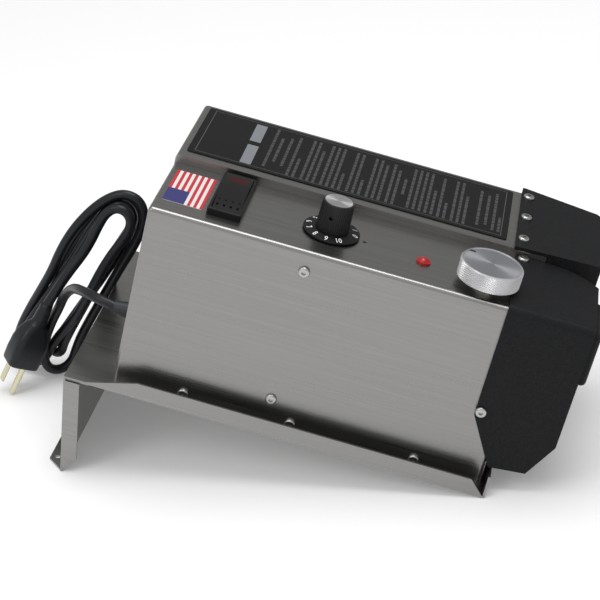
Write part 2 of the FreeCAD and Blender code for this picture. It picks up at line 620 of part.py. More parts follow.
def wheel_nut(y, x):
    """Hexagon nut with a washer face, holding the wheel stack on its shaft."""
    washer = ring(12, SHAFT_RADIUS, (x, y, SHAFT_HEIGHT), AXIS_X, 1.5)
    corners = []
    for index in range(6):
        angle = math.radians(60 * index)
        corners.append((x + 1.5, y + 11 * math.cos(angle), SHAFT_HEIGHT + 11 * math.sin(angle)))
    nut = prism(corners, Vector(4.5, 0, 0))
    return washer.fuse(nut.cut(rod(SHAFT_RADIUS, (x, y, SHAFT_HEIGHT), AXIS_X, 10))).removeSplitter()


def stack_end(start):
    return start + (WHEEL_COUNT - 1) * WHEEL_PITCH + WHEEL_WIDTH


def gear(y, phase):
    """Coarse spur gear; its tall teeth stay in mesh as the shafts move apart."""
    pitch_radius = GEAR_MODULE * GEAR_TEETH / 2
    tip, root = pitch_radius + GEAR_MODULE * 0.95, pitch_radius - GEAR_MODULE * 1.2
    step = 2 * math.pi / GEAR_TEETH
    widths = ((root, 0.335), (pitch_radius, 0.215), (tip, 0.085))
    corners = []
    for tooth in range(GEAR_TEETH):
        centre = phase + tooth * step
        left = [(radius, centre - share * step) for radius, share in widths]
        right = [(radius, centre + share * step) for radius, share in reversed(widths)]
        for radius, angle in left + right:
            corners.append((GEAR_X, y + radius * math.cos(angle), SHAFT_HEIGHT + radius * math.sin(angle)))
    body = prism(corners, Vector(GEAR_WIDTH, 0, 0))
    return body.cut(rod(SHAFT_RADIUS, (GEAR_X, y, SHAFT_HEIGHT), AXIS_X, GEAR_WIDTH))


def near_gear():
    return gear(NEAR_AXIS, 0.0)


def far_gear():
    """Turned so that a gap faces the near gear's tooth on the line of centres."""
    step = 2 * math.pi / GEAR_TEETH
    return gear(FAR_AXIS, math.pi + step / 2)


# ---------------------------------------------------------------- carriage

def carriage_block():
    block = box(CARRIAGE_REAR, CARRIAGE_FRONT, FAR_AXIS - CARRIAGE_HALF_WIDTH, FAR_AXIS + CARRIAGE_HALF_WIDTH,
                CARRIAGE_BOTTOM, CARRIAGE_TOP)
    middle_room = box(CARRIAGE_REAR + 12, CARRIAGE_FRONT - 12, FAR_AXIS - 14, FAR_AXIS + 14,
                      ROD_HEIGHT + 10, CARRIAGE_TOP - 12)
    block = block.cut(middle_room)
    block = block.cut(rod(BEARING_RADIUS, (CARRIAGE_REAR - 1, FAR_AXIS, SHAFT_HEIGHT), AXIS_X, BEARING_WIDTH + 1))
    block = block.cut(rod(BEARING_RADIUS, (CARRIAGE_FRONT - BEARING_WIDTH, FAR_AXIS, SHAFT_HEIGHT), AXIS_X,
                          BEARING_WIDTH + 1))
    block = block.cut(rod(SHAFT_RADIUS + 2, (CARRIAGE_REAR - 1, FAR_AXIS, SHAFT_HEIGHT), AXIS_X, 60))
    for x in ROD_X:
        block = block.cut(rod(ROD_RADIUS + RUNNING_GAP, (x, FAR_AXIS - 30, ROD_HEIGHT), AXIS_Y, 60))
    return block


def far_bearings():
    return group([bearing_at(CARRIAGE_REAR, FAR_AXIS), bearing_at(CARRIAGE_FRONT - BEARING_WIDTH, FAR_AXIS)])


def cam_follower():
    """Push rod from the carriage to the edge of the cam, with its screw-down foot."""
    height = (CAM_BOTTOM + CAM_TOP) / 2
    tip = ANGLE_KNOB_Y + CAM_RADIUS + CURVED_GAP
    reach = rod(3.0, (ANGLE_KNOB_X, tip, height), AXIS_Y, FAR_AXIS - CARRIAGE_HALF_WIDTH + 12 - tip)
    foot = box(CARRIAGE_FRONT, ANGLE_KNOB_X + 4, FAR_AXIS - CARRIAGE_HALF_WIDTH, FAR_AXIS - 3,
               height - 5, CARRIAGE_TOP)
    return join([reach, foot])


def guide_rods():
    start = FAR_AXIS - CARRIAGE_HALF_WIDTH - 9
    end = FAR_FACE - 14
    return group([rod(ROD_RADIUS, (x, start, ROD_HEIGHT), AXIS_Y, end - start) for x in ROD_X])


def rod_brackets():
    floor = SHEET + PAN_SHEET
    near_y = FAR_AXIS - CARRIAGE_HALF_WIDTH - 9
    far_y = FAR_FACE - 20
    blocks = []
    for y in (near_y, far_y):
        block = box(CARRIAGE_REAR, CARRIAGE_FRONT, y, y + 6, floor, ROD_HEIGHT + 9)
        for x in ROD_X:
            block = block.cut(rod(ROD_RADIUS, (x, y - 1, ROD_HEIGHT), AXIS_Y, 8))
        blocks.append(block)
    return group(blocks)


def spring_coil(x, y0, y1):
    """Closely wound return spring over a guide rod, at its shortest working length."""
    turns = 5
    wire = 0.9
    coil = Part.makeHelix((y1 - y0 - 2 * wire) / turns, y1 - y0 - 2 * wire, ROD_RADIUS + 0.6 + wire)
    start = coil.Vertexes[0].Point
    circle = Part.Wire(Part.Circle(start, Vector(0, 1, 0.1), wire).toShape())
    solid = Part.Wire(coil).makePipeShell([circle], True, True)
    solid.Placement = Placement(Vector(x, y0 + wire, ROD_HEIGHT), Rotation(AXIS_Z, AXIS_Y))
    return solid


def return_springs():
    y0 = FAR_AXIS + CARRIAGE_HALF_WIDTH + CARRIAGE_TRAVEL + 0.4
    y1 = FAR_FACE - 20
    return group([spring_coil(x, y0, y1) for x in ROD_X])


# ---------------------------------------------------------------- angle knob

def angle_knob():
    knob = rod(ANGLE_KNOB_RADIUS, (ANGLE_KNOB_X, ANGLE_KNOB_Y, ANGLE_KNOB_BOTTOM), AXIS_Z,
               ANGLE_KNOB_TOP - ANGLE_KNOB_BOTTOM)
    knob = knob.makeChamfer(0.9, [edge for edge in knob.Edges if isinstance(edge.Curve, Part.Circle)])
    dish = rod(ANGLE_KNOB_RADIUS - 2.2, (ANGLE_KNOB_X, ANGLE_KNOB_Y, ANGLE_KNOB_TOP - 0.4), AXIS_Z, 2)
    hub = rod(8.0, (ANGLE_KNOB_X, ANGLE_KNOB_Y, NEAR_TOP + 2.5), AXIS_Z, ANGLE_KNOB_BOTTOM - NEAR_TOP - 2.5)
    bore = rod(SPINDLE_RADIUS, (ANGLE_KNOB_X, ANGLE_KNOB_Y, NEAR_TOP), AXIS_Z, 15)
    mark = box(ANGLE_KNOB_X - 19.5, ANGLE_KNOB_X - 14, ANGLE_KNOB_Y - 0.7 + 7, ANGLE_KNOB_Y + 0.7 + 7,
               ANGLE_KNOB_TOP - 1.0, ANGLE_KNOB_TOP + 1)
    return join([knob, hub]).cut(dish).cut(bore).cut(mark)


def angle_spindle():
    spindle = rod(SPINDLE_RADIUS, (ANGLE_KNOB_X, ANGLE_KNOB_Y, CAM_BOTTOM - 6), AXIS_Z, NEAR_TOP + 15 - CAM_BOTTOM + 6)
    return spindle.makeChamfer(0.6, [edge for edge in spindle.Edges if isinstance(edge.Curve, Part.Circle)])


def angle_bushing():
    flange = ring(9.5, SPINDLE_RADIUS + RUNNING_GAP, (ANGLE_KNOB_X, ANGLE_KNOB_Y, NEAR_TOP), AXIS_Z, 2.0)
    barrel = ring(5.9, SPINDLE_RADIUS + RUNNING_GAP, (ANGLE_KNOB_X, ANGLE_KNOB_Y, NEAR_TOP - 18), AXIS_Z, 18)
    return join([flange, barrel])


def angle_cam():
    """Spiral cam: its edge towards the follower moves out as the knob turns."""
    rise = CAM_RISE_PER_TURN / 360
    steps = 18
    points = []
    for index in range(steps + 1):
        turn = index * (ANGLE_TURN + 20) / steps - 10
        radius = CAM_RADIUS + rise * min(max(turn, 0), ANGLE_TURN)
        angle = math.radians(90 - turn)
        points.append(Vector(radius * math.cos(angle), radius * math.sin(angle), 0))
    spiral = Part.BSplineCurve()
    spiral.interpolate(points)
    closing = Part.LineSegment(points[-1], points[0]).toShape()
    face = Part.Face(Part.Wire([spiral.toShape(), closing]))
    face.translate(Vector(ANGLE_KNOB_X, ANGLE_KNOB_Y, CAM_BOTTOM))
    cam = face.extrude(Vector(0, 0, CAM_TOP - CAM_BOTTOM))
    return cam.cut(rod(SPINDLE_RADIUS, (ANGLE_KNOB_X, ANGLE_KNOB_Y, CAM_BOTTOM), AXIS_Z, 10))


# ---------------------------------------------------------------- speed control

def speed_knob():
    base = NEAR_TOP + 3.4
    body = Part.makeCone(KNOB_BASE_RADIUS, KNOB_TOP_RADIUS, KNOB_TOP - base,
                         Vector(SPEED_KNOB_X, SPEED_KNOB_Y, base), AXIS_Z)
    flutes = 24
    for index in range(flutes):
        angle = 2 * math.pi * index / flutes
        reach = KNOB_BASE_RADIUS + 0.35
        foot = (SPEED_KNOB_X + reach * math.cos(angle), SPEED_KNOB_Y + reach * math.sin(angle), base + 2.5)
        lean = Vector(-0.115 * math.cos(angle), -0.115 * math.sin(angle), 1)
        body = body.cut(rod(1.0, foot, lean, 30))
    body = body.cut(rod(KNOB_CAP_RADIUS, (SPEED_KNOB_X, SPEED_KNOB_Y, KNOB_TOP - 1.0), AXIS_Z, 3))
    return body.cut(rod(3.0, (SPEED_KNOB_X, SPEED_KNOB_Y, base - 1), AXIS_Z, 15))


def speed_knob_cap():
    return rod(KNOB_CAP_RADIUS, (SPEED_KNOB_X, SPEED_KNOB_Y, KNOB_TOP - 1.0), AXIS_Z, 1.2)


def speed_dial_skirt():
    """Numbered skirt, a shallow cone under the knob body."""
    z = NEAR_TOP + 1.0
    rim = rod(SKIRT_RADIUS, (SPEED_KNOB_X, SPEED_KNOB_Y, z), AXIS_Z, 0.8)
    slope = Part.makeCone(SKIRT_RADIUS, KNOB_BASE_RADIUS + 0.6, 1.6, Vector(SPEED_KNOB_X, SPEED_KNOB_Y, z + 0.8), AXIS_Z)
    return join([rim, slope]).cut(rod(3.0, (SPEED_KNOB_X, SPEED_KNOB_Y, z - 1), AXIS_Z, 6))


def speed_spindle():
    top = NEAR_TOP + 15.0
    return rod(3.0, (SPEED_KNOB_X, SPEED_KNOB_Y, NEAR_TOP - 8), AXIS_Z, top - NEAR_TOP + 8)


def speed_pot():
    can = rod(12, (SPEED_KNOB_X, SPEED_KNOB_Y, NEAR_TOP - 21), AXIS_Z, 11)
    nose = rod(6.0, (SPEED_KNOB_X, SPEED_KNOB_Y, NEAR_TOP - 10), AXIS_Z, 10.4)
    collar = rod(9.0, (SPEED_KNOB_X, SPEED_KNOB_Y, NEAR_TOP - SHEET - 2), AXIS_Z, 2)
    bore = rod(3.0 + RUNNING_GAP, (SPEED_KNOB_X, SPEED_KNOB_Y, NEAR_TOP - 9), AXIS_Z, 20)
    return join([can, nose, collar]).cut(bore)


def speed_board():
    board = box(122, 166, NEAR_FACE + SHEET + 5, NEAR_FACE + SHEET + 6.6, 92, 132)
    standoff = rod(4, (144, NEAR_FACE + SHEET, 125.3), AXIS_Y, 5)
    standoff = standoff.cut(rod(SCREW_HOLE_RADIUS, (144, 0, 125.3), AXIS_Y, 40))
    board = board.cut(rod(SCREW_HOLE_RADIUS, (144, 0, 125.3), AXIS_Y, 40))
    heat_sink = box(128, 160, NEAR_FACE + SHEET + 6.6, NEAR_FACE + SHEET + 16, 96, 112)
    for index in range(4):
        x = 132 + index * 7
        heat_sink = heat_sink.cut(box(x, x + 4, NEAR_FACE + SHEET + 8.6, NEAR_FACE + SHEET + 17, 95, 113))
    return group([board, standoff, heat_sink])


# ---------------------------------------------------------------- switch, lamp and trim

def switch_bezel():
    x0, x1 = SWITCH_X - SWITCH_WIDTH / 2, SWITCH_X + SWITCH_WIDTH / 2
    y0, y1 = SWITCH_Y - SWITCH_LENGTH / 2, SWITCH_Y + SWITCH_LENGTH / 2
    frame = box(x0, x1, y0, y1, NEAR_TOP, NEAR_TOP + SWITCH_HEIGHT)
    frame = fillet(frame, 1.6, lambda edge: straight_along(edge, AXIS_Z))
    frame = fillet(frame, 0.8, lambda edge: middle(edge).z > NEAR_TOP + SWITCH_HEIGHT - 0.1)
    can = box(SWITCH_X - 10.5, SWITCH_X + 10.5, SWITCH_Y - 28.8, SWITCH_Y + 28.8, NEAR_TOP - 24, NEAR_TOP)
    reach = ROCKER_REACH + 0.6
    well = box(SWITCH_X - ROCKER_WIDTH / 2 - 0.3, SWITCH_X + ROCKER_WIDTH / 2 + 0.3, SWITCH_Y - reach,
               SWITCH_Y + reach, NEAR_TOP - 16, NEAR_TOP + SWITCH_HEIGHT + 1)
    pivot = rod(1.5, (SWITCH_X - 10.2, SWITCH_Y, NEAR_TOP - 1.0), AXIS_X, 20.4)
    return join([join([frame, can]).cut(well), pivot])


def tilt_rocker(shape):
    """Press the near end down: the rocker stands at rest in its off position."""
    shape.rotate(Vector(SWITCH_X, SWITCH_Y, NEAR_TOP - 1.0), AXIS_X, ROCKER_TILT)
    return shape


def rocker_blank(extra):
    crown_radius = 150.0
    crown_top = NEAR_TOP + SWITCH_HEIGHT + 1.4 + extra
    block = box(SWITCH_X - ROCKER_WIDTH / 2, SWITCH_X + ROCKER_WIDTH / 2, SWITCH_Y - ROCKER_REACH - 1,
                SWITCH_Y + ROCKER_REACH + 1, NEAR_TOP - 6, NEAR_TOP + 12)
    ends = rod(ROCKER_REACH, (SWITCH_X - 20, SWITCH_Y, NEAR_TOP - 1.0), AXIS_X, 40)
    crown = rod(crown_radius, (SWITCH_X - 20, SWITCH_Y, crown_top - crown_radius), AXIS_X, 40)
    return block.common(ends).common(crown)


def rocker():
    body = rocker_blank(0)
    pocket = box(SWITCH_X - 6.5, SWITCH_X + 6.5, SWITCH_Y + 14, SWITCH_Y + 22, NEAR_TOP + 3, NEAR_TOP + 20)
    body = body.cut(pocket)
    for row in range(2):
        for column in range(4):
            spot = (SWITCH_X - 7.2 + column * 4.8, SWITCH_Y - 18 + row * 6.5, NEAR_TOP)
            body = body.fuse(rod(0.8, spot, AXIS_Z, SWITCH_HEIGHT + 1.3))
    body = body.cut(rod(1.5 + RUNNING_GAP, (SWITCH_X - 12, SWITCH_Y, NEAR_TOP - 1.0), AXIS_X, 24))
    return tilt_rocker(body)


def rocker_lens():
    pocket = box(SWITCH_X - 6.5, SWITCH_X + 6.5, SWITCH_Y + 14, SWITCH_Y + 22, NEAR_TOP + 3, NEAR_TOP + 20)
    return tilt_rocker(rocker_blank(0).common(pocket))


def lamp_lens():
    collar = rod(LAMP_RADIUS, (LAMP_X, LAMP_Y, NEAR_TOP), AXIS_Z, 1.4)
    dome = Part.makeSphere(4.6, Vector(LAMP_X, LAMP_Y, NEAR_TOP - 1.0))
    dome = dome.common(rod(LAMP_RADIUS, (LAMP_X, LAMP_Y, NEAR_TOP + 1.2), AXIS_Z, 6))
    return join([collar, dome])


def lamp_body():
    barrel = rod(4.0, (LAMP_X, LAMP_Y, NEAR_TOP - 20), AXIS_Z, 20)
    clip = rod(6.0, (LAMP_X, LAMP_Y, NEAR_TOP - SHEET - 2.5), AXIS_Z, 2.5)
    return join([barrel, clip])


def instruction_panel():
    plate = box(37.5, 272.5, 101.5, 185.5, FAR_TOP, FAR_TOP + 0.6)
    return fillet(plate, 2.0, lambda edge: straight_along(edge, AXIS_Z))


def striped_decal():
    plate = box(37.3, 65.8, 30.5, 81.0, NEAR_TOP, NEAR_TOP + 0.25)
    return fillet(plate, 1.0, lambda edge: straight_along(edge, AXIS_Z))


def terminal_block():
    block = box(60, 76, 112, 138, SHEET + PAN_SHEET, 16)
    for index in range(4):
        block = block.cut(rod(2.0, (68, 116 + index * 6, 10), AXIS_Z, 8))
    return block


# ---------------------------------------------------------------- fasteners

def housing_screws():
    screws = [screw((x, NEAR_FACE, z), AXIS_Y * -1, 7) for x, z in near_screw_places()]
    screws += [screw((x, FAR_FACE, 6.3), AXIS_Y, 7) for x in low_screw_xs()]
    return group(screws)


def guard_screws():
    screws = [screw((GUARD_REAR + 3.8, NEAR_FACE - GUARD_SHEET, 59.8), AXIS_Y * -1, 7)]
    screws.append(screw((GUARD_REAR + 3.8, FAR_FACE + GUARD_SHEET, 59.8), AXIS_Y, 7))
    screws.append(screw((GUARD_REAR + 5.2, STEP_FACE - 6.0, NEAR_TOP + GUARD_SHEET), AXIS_Z, 7))
    for y in far_top_screw_ys():
        screws.append(screw((GUARD_REAR + 2.5, y, FAR_TOP + GUARD_SHEET), AXIS_Z, 7))
    return group(screws)


def tray_bolts():
    return group([screw((x, y, 0), AXIS_Z * -1, 6) for x, y in tray_bolt_places()])


# ---------------------------------------------------------------- cord and plug

def cord_relief():
    """Moulded strain relief: a flange on the rear wall and a tapered sleeve."""
    spot = Vector(HOUSING_REAR, CORD_EXIT_Y, CORD_EXIT_Z)
    barrel = rod(6.8, (HOUSING_REAR, CORD_EXIT_Y, CORD_EXIT_Z), AXIS_X, 5)
    flange = rod(9.0, (HOUSING_REAR - 2, CORD_EXIT_Y, CORD_EXIT_Z), AXIS_X, 2)
    sleeve = Part.makeCone(7.0, CORD_RADIUS + 0.8, RELIEF_REACH, spot, AXIS_X * -1)
    return join([barrel, flange, sleeve])


def bend_radius(before, corner, after):
    """Largest even bend: 0.45 of the shorter run over the tangent of half the turn."""
    first = corner - before
    second = after - corner
    turn = first.getAngle(second)
    return 0.45 * min(first.Length, second.Length) / math.tan(turn / 2), turn


def cord_tube(name, route):
    """Straight runs joined by tangent arcs, swept with the cord's round section."""
    points = [Vector(*point) for point in route]
    edges = []
    start = points[0]
    radii = []
    length = 0.0
    for before, corner, after in zip(points, points[1:], points[2:]):
        radius, turn = bend_radius(before, corner, after)
        radii.append(round(radius, 1))
        back = radius * math.tan(turn / 2)
        into = (corner - before).normalize()
        out = (after - corner).normalize()
        arc_start = corner - into * back
        arc_end = corner + out * back
        towards = (out - into).normalize()
        arc_middle = corner + towards * (radius / math.cos(turn / 2) - radius)
        edges.append(Part.LineSegment(start, arc_start).toShape())
        edges.append(Part.Arc(arc_start, arc_middle, arc_end).toShape())
        length += (arc_start - start).Length + radius * turn
        start = arc_end
    edges.append(Part.LineSegment(start, points[-1]).toShape())
    length += (points[-1] - start).Length
    path = Part.Wire(edges)
    section = Part.Wire(Part.Circle(points[0], points[1] - points[0], CORD_RADIUS).toShape())
    tube = path.makePipeShell([section], True, True)
    ideal = math.pi * CORD_RADIUS ** 2 * length
    print(name, "bend radii", radii, "length", round(length, 1), "volume ratio", round(tube.Volume / ideal, 4))
    return tube


def cord_hank():
    """The outer shape of the loosely gathered loops, standing behind the tray."""
    hank = prism([(x, HANK_NEAR, z) for x, z in HANK_OUTLINE], Vector(0, HANK_FAR - HANK_NEAR, 0))
    return fillet(hank, 4.0, lambda edge: abs(middle(edge).y - (HANK_NEAR + HANK_FAR) / 2) > 1)


def rounded_section(width, depth, corner, z):
    """Closed wire of a rounded rectangle about the origin at height z."""
    face = Part.makeBox(width, depth, 1, Vector(-width / 2, -depth / 2, z))
    face = fillet(face, corner, lambda edge: straight_along(edge, AXIS_Z))
    return [piece for piece in face.Faces if abs(piece.CenterOfMass.z - z) < 1e-6][0].OuterWire


def plug_placement():
    depth = PLUG_LENGTH_DIRECTION.cross(PLUG_WIDTH_DIRECTION)
    return Placement(PLUG_FACE, Rotation(PLUG_WIDTH_DIRECTION, depth, PLUG_LENGTH_DIRECTION, "ZXY"))


def plug_body():
    sections = [rounded_section(25.0, 20.5, 3.0, 0), rounded_section(26.0, 21.5, 3.5, PLUG_BODY * 0.25),
                rounded_section(24.0, 20.0, 4.5, PLUG_BODY * 0.6), rounded_section(13.5, 13.0, 6.0, PLUG_BODY)]
    body = Part.makeLoft(sections, True, False)
    neck = Part.makeCone(6.2, CORD_RADIUS + 0.7, PLUG_NECK, Vector(0, 0, PLUG_BODY), AXIS_Z)
    shape = join([body, neck])
    shape.Placement = plug_placement()
    return shape


def plug_pins():
    pins = []
    for side in (-1, 1):
        x = side * BLADE_SPACING / 2
        blade = box(x - 0.75, x + 0.75, 4.0 - 3.2, 4.0 + 3.2, -15.9, 0)
        pins.append(fillet(blade, 0.6, lambda edge: middle(edge).z < -15.5 and straight_along(edge, AXIS_Y)))
    ground = rod(2.4, (0, -7.9, -18.0), AXIS_Z, 18.0)
    tip = Part.makeSphere(2.4, Vector(0, -7.9, -18.0))
    pins.append(join([ground, tip]))
    shape = group(pins)
    shape.Placement = plug_placement()
    return shape


def cord_parts():
    parts = {make.__name__: make() for make in (cord_hank, plug_body, plug_pins)}
    parts["cord_lead"] = cord_tube("cord_lead", LEAD_ROUTE)
    parts["cord_tail"] = cord_tube("cord_tail", TAIL_ROUTE)
    return parts


# ---------------------------------------------------------------- placing and writing

def tilt_only(shape):
    moved = shape.copy()
    moved.Placement = Placement(Vector(0, 0, 0), Rotation(AXIS_Y, TILT)).multiply(moved.Placement)
    return moved


MACHINE_NODES = [
    stand_tray, stand_leg, near_housing, far_housing, near_guard, far_guard, chassis_pan, front_bulkhead,
    rear_bulkhead, near_bearings, motor_can, motor_end_bell, motor_mount, motor_shaft, motor_pulley, near_pulley,
    drive_belt, near_gear, far_gear, carriage_block, far_bearings, cam_follower, guide_rods, rod_brackets,
    return_springs, angle_knob, angle_spindle, angle_bushing, angle_cam, speed_knob, speed_knob_cap,
    speed_dial_skirt, speed_spindle, speed_pot, speed_board, switch_bezel, rocker, rocker_lens, lamp_lens,
    lamp_body, instruction_panel, striped_decal, terminal_block, housing_screws, guard_screws,
    tray_bolts, cord_relief]


def machine_parts():
    parts = {make.__name__: make() for make in MACHINE_NODES}
    parts["near_shaft"] = grinding_shaft(NEAR_AXIS, PULLEY_X - 2, stack_end(NEAR_WHEEL_START) + 7)
    parts["near_wheels"] = wheels(NEAR_AXIS, NEAR_WHEEL_START)
    parts["near_spacers"] = spacers(NEAR_AXIS, NEAR_WHEEL_START)
    parts["near_nut"] = wheel_nut(NEAR_AXIS, stack_end(NEAR_WHEEL_START))
    parts["far_shaft"] = grinding_shaft(FAR_AXIS, GEAR_X - 1, stack_end(FAR_WHEEL_START) + 7)
    parts["far_wheels"] = wheels(FAR_AXIS, FAR_WHEEL_START)
    parts["far_spacers"] = spacers(FAR_AXIS, FAR_WHEEL_START)
    parts["far_nut"] = wheel_nut(FAR_AXIS, stack_end(FAR_WHEEL_START))
    return parts


def main():
    os.makedirs("parts", exist_ok=True)
    tilted = {name: tilt_only(shape) for name, shape in machine_parts().items()}
    bounds = Part.makeCompound(list(tilted.values())).optimalBoundingBox(True)
    shift = Vector(-(bounds.XMin + bounds.XMax) / 2, -(bounds.YMin + bounds.YMax) / 2, -bounds.ZMin)
    print("size", bounds.XLength, bounds.YLength, bounds.ZLength, "shift", shift, "tilt", TILT)
    for shape in tilted.values():
        shape.translate(shift)
    parts = dict(tilted, **cord_parts())
    for name, shape in parts.items():
        shape.exportStep("parts/" + name + ".step")
    return parts, shift


main()
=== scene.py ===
"""Looks for the bench knife sharpener: materials, the mains cord, printed details, lights and camera."""
import json
import math
import random

import bpy
from mathutils import Matrix, Vector


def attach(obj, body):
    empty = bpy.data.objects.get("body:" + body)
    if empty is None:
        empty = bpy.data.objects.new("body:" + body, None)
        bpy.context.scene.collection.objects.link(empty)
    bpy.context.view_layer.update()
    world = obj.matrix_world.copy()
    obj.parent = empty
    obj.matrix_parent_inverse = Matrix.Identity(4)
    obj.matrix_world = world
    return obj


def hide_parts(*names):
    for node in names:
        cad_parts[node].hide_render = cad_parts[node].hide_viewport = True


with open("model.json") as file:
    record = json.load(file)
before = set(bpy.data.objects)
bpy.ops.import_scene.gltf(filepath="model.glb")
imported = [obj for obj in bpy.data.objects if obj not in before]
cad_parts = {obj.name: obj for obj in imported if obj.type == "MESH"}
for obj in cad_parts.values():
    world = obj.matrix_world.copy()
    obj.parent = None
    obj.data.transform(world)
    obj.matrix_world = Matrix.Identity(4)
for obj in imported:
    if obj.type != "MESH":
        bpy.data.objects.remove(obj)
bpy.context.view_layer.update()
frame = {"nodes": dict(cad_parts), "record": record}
NODES = frame["nodes"]
SLOTS = {part["node"]: part["material_slot"] for part in frame["record"]["subparts"]}

# ------------------------------------------------------------ machine's own frame
# X along the tray, Y away from the controls, Z square to the tray, all in millimetres. The tilt is the
# tray's slope on its leg, and the shift puts the machine's middle over the row frame's origin.
TILT = math.radians(14.757055625234425)
SHIFT = Vector((-174.04766784, -102.5, 77.87679916))
MACHINE = Matrix.Scale(0.001, 4) @ Matrix.Translation(SHIFT) @ Matrix.Rotation(TILT, 4, "Y")


def place(point):
    """A point in the machine's frame, in the row frame in metres."""
    return MACHINE @ Vector(point)


def direction(vector):
    return (MACHINE.to_3x3() @ Vector(vector)).normalized()


# ------------------------------------------------------------ materials

def new_material(name, colour, metallic=0.0, roughness=0.5, **sockets):
    """A Principled material; extra sockets are given with _ for spaces."""
    made = bpy.data.materials.new(name)
    made.use_nodes = True
    shader = made.node_tree.nodes["Principled BSDF"]
    shader.inputs["Base Color"].default_value = (*colour, 1)
    shader.inputs["Metallic"].default_value = metallic
    shader.inputs["Roughness"].default_value = roughness
    for socket, value in sockets.items():
        shader.inputs[socket.replace("_", " ")].default_value = value
    return made


def add_node(tree, kind, **values):
    node = tree.nodes.new(kind)
    for key, value in values.items():
        setattr(node, key, value)
    return node


def machine_coordinates(tree, scale):
    """Object coordinates turned into the machine's directions, then scaled per metre."""
    source = add_node(tree, "ShaderNodeTexCoord")
    turn = add_node(tree, "ShaderNodeMapping")
    turn.inputs["Rotation"].default_value = (0, -TILT, 0)
    stretch = add_node(tree, "ShaderNodeMapping")
    stretch.inputs["Scale"].default_value = scale
    tree.links.new(source.outputs["Object"], turn.inputs["Vector"])
    tree.links.new(turn.outputs["Vector"], stretch.inputs["Vector"])
    return stretch.outputs["Vector"]


def noise(tree, coordinates, scale=1.0, detail=3.0, rough=0.55):
    node = add_node(tree, "ShaderNodeTexNoise")
    node.inputs["Scale"].default_value = scale
    node.inputs["Detail"].default_value = detail
    node.inputs["Roughness"].default_value = rough
    tree.links.new(coordinates, node.inputs["Vector"])
    return node.outputs["Fac"]


def ramp_between(tree, factor, low, high, start=0.3, end=0.7):
    node = add_node(tree, "ShaderNodeMapRange")
    for socket, value in (("From Min", start), ("From Max", end), ("To Min", low), ("To Max", high)):
        node.inputs[socket].default_value = value
    tree.links.new(factor, node.inputs["Value"])
    return node.outputs["Result"]


def colour_between(tree, factor, low, high):
    node = add_node(tree, "ShaderNodeMix", data_type="RGBA")
    colour_inputs = [socket for socket in node.inputs if socket.type == "RGBA"]
    colour_inputs[0].default_value = (*low, 1)
    colour_inputs[1].default_value = (*high, 1)
    tree.links.new(factor, node.inputs["Factor"])
    return [socket for socket in node.outputs if socket.type == "RGBA"][0]


def add_bump(material, height, strength, distance):
    tree = material.node_tree
    bump = add_node(tree, "ShaderNodeBump")
    bump.inputs["Strength"].default_value = strength
    bump.inputs["Distance"].default_value = distance
    tree.links.new(height, bump.inputs["Height"])
    tree.links.new(bump.outputs["Normal"], tree.nodes["Principled BSDF"].inputs["Normal"])


def shade(colour, amount):
    return tuple(channel * amount for channel in colour)


def brushed_steel(name, colour, grain, rough, spread=0.06):
    """Brushed sheet: long streaks along the first axis of grain, uneven in shade and gloss."""
    made = new_material(name, colour, 1.0, rough)
    tree = made.node_tree
    shader = tree.nodes["Principled BSDF"]
    streaks = noise(tree, machine_coordinates(tree, grain), detail=4.0)
    tone = ramp_between(tree, streaks, 0.0, 1.0)
    tint = colour_between(tree, tone, shade(colour, 1 - spread), shade(colour, 1 + spread))
    tree.links.new(tint, shader.inputs["Base Color"])
    gloss = ramp_between(tree, streaks, rough - 0.04, rough + 0.05)
    tree.links.new(gloss, shader.inputs["Roughness"])
    add_bump(made, streaks, 0.05, 0.00005)
    return made


def spun_metal(name, colour, centre, rough, spread):
    """Turned face: fine rings, and a sheen that fans out from the centre."""
    made = new_material(name, colour, 1.0, rough, Anisotropic=0.85)
    tree = made.node_tree
    shader = tree.nodes["Principled BSDF"]
    source = add_node(tree, "ShaderNodeTexCoord")
    offset = add_node(tree, "ShaderNodeVectorMath", operation="SUBTRACT")
    offset.inputs[1].default_value = place(centre)
    around = add_node(tree, "ShaderNodeVectorMath", operation="CROSS_PRODUCT")
    around.inputs[0].default_value = direction((0, 0, 1))
    to_world = add_node(tree, "ShaderNodeVectorTransform", vector_type="VECTOR", convert_from="OBJECT",
                        convert_to="WORLD")
    radius = add_node(tree, "ShaderNodeVectorMath", operation="LENGTH")
    tree.links.new(source.outputs["Object"], offset.inputs[0])
    tree.links.new(offset.outputs["Vector"], around.inputs[1])
    tree.links.new(around.outputs["Vector"], to_world.inputs["Vector"])
    tree.links.new(to_world.outputs["Vector"], shader.inputs["Tangent"])
    tree.links.new(offset.outputs["Vector"], radius.inputs[0])
    rings = add_node(tree, "ShaderNodeTexNoise", noise_dimensions="1D")
    rings.inputs["Scale"].default_value = 2500.0
    tree.links.new(radius.outputs["Value"], rings.inputs["W"])
    tone = ramp_between(tree, rings.outputs["Fac"], 0.0, 1.0)
    tint = colour_between(tree, tone, shade(colour, 1 - spread), shade(colour, 1 + spread))
    tree.links.new(tint, shader.inputs["Base Color"])
    return made


def textured_plastic(name, colour, rough, pebble, depth, strength, spread=0.3, gleam=0.25):
    """A matt surface with a fine pebble grain; pebble is the grain's frequency per metre."""
    made = new_material(name, colour, 0.0, rough, Specular_IOR_Level=gleam)
    tree = made.node_tree
    shader = tree.nodes["Principled BSDF"]
    coordinates = machine_coordinates(tree, (pebble, pebble, pebble))
    grain = noise(tree, coordinates, detail=2.0)
    add_bump(made, grain, strength, depth)
    tone = ramp_between(tree, grain, 0.0, 1.0)
    tint = colour_between(tree, tone, shade(colour, 1 - spread), shade(colour, 1 + spread))
    tree.links.new(tint, shader.inputs["Base Color"])
    return made


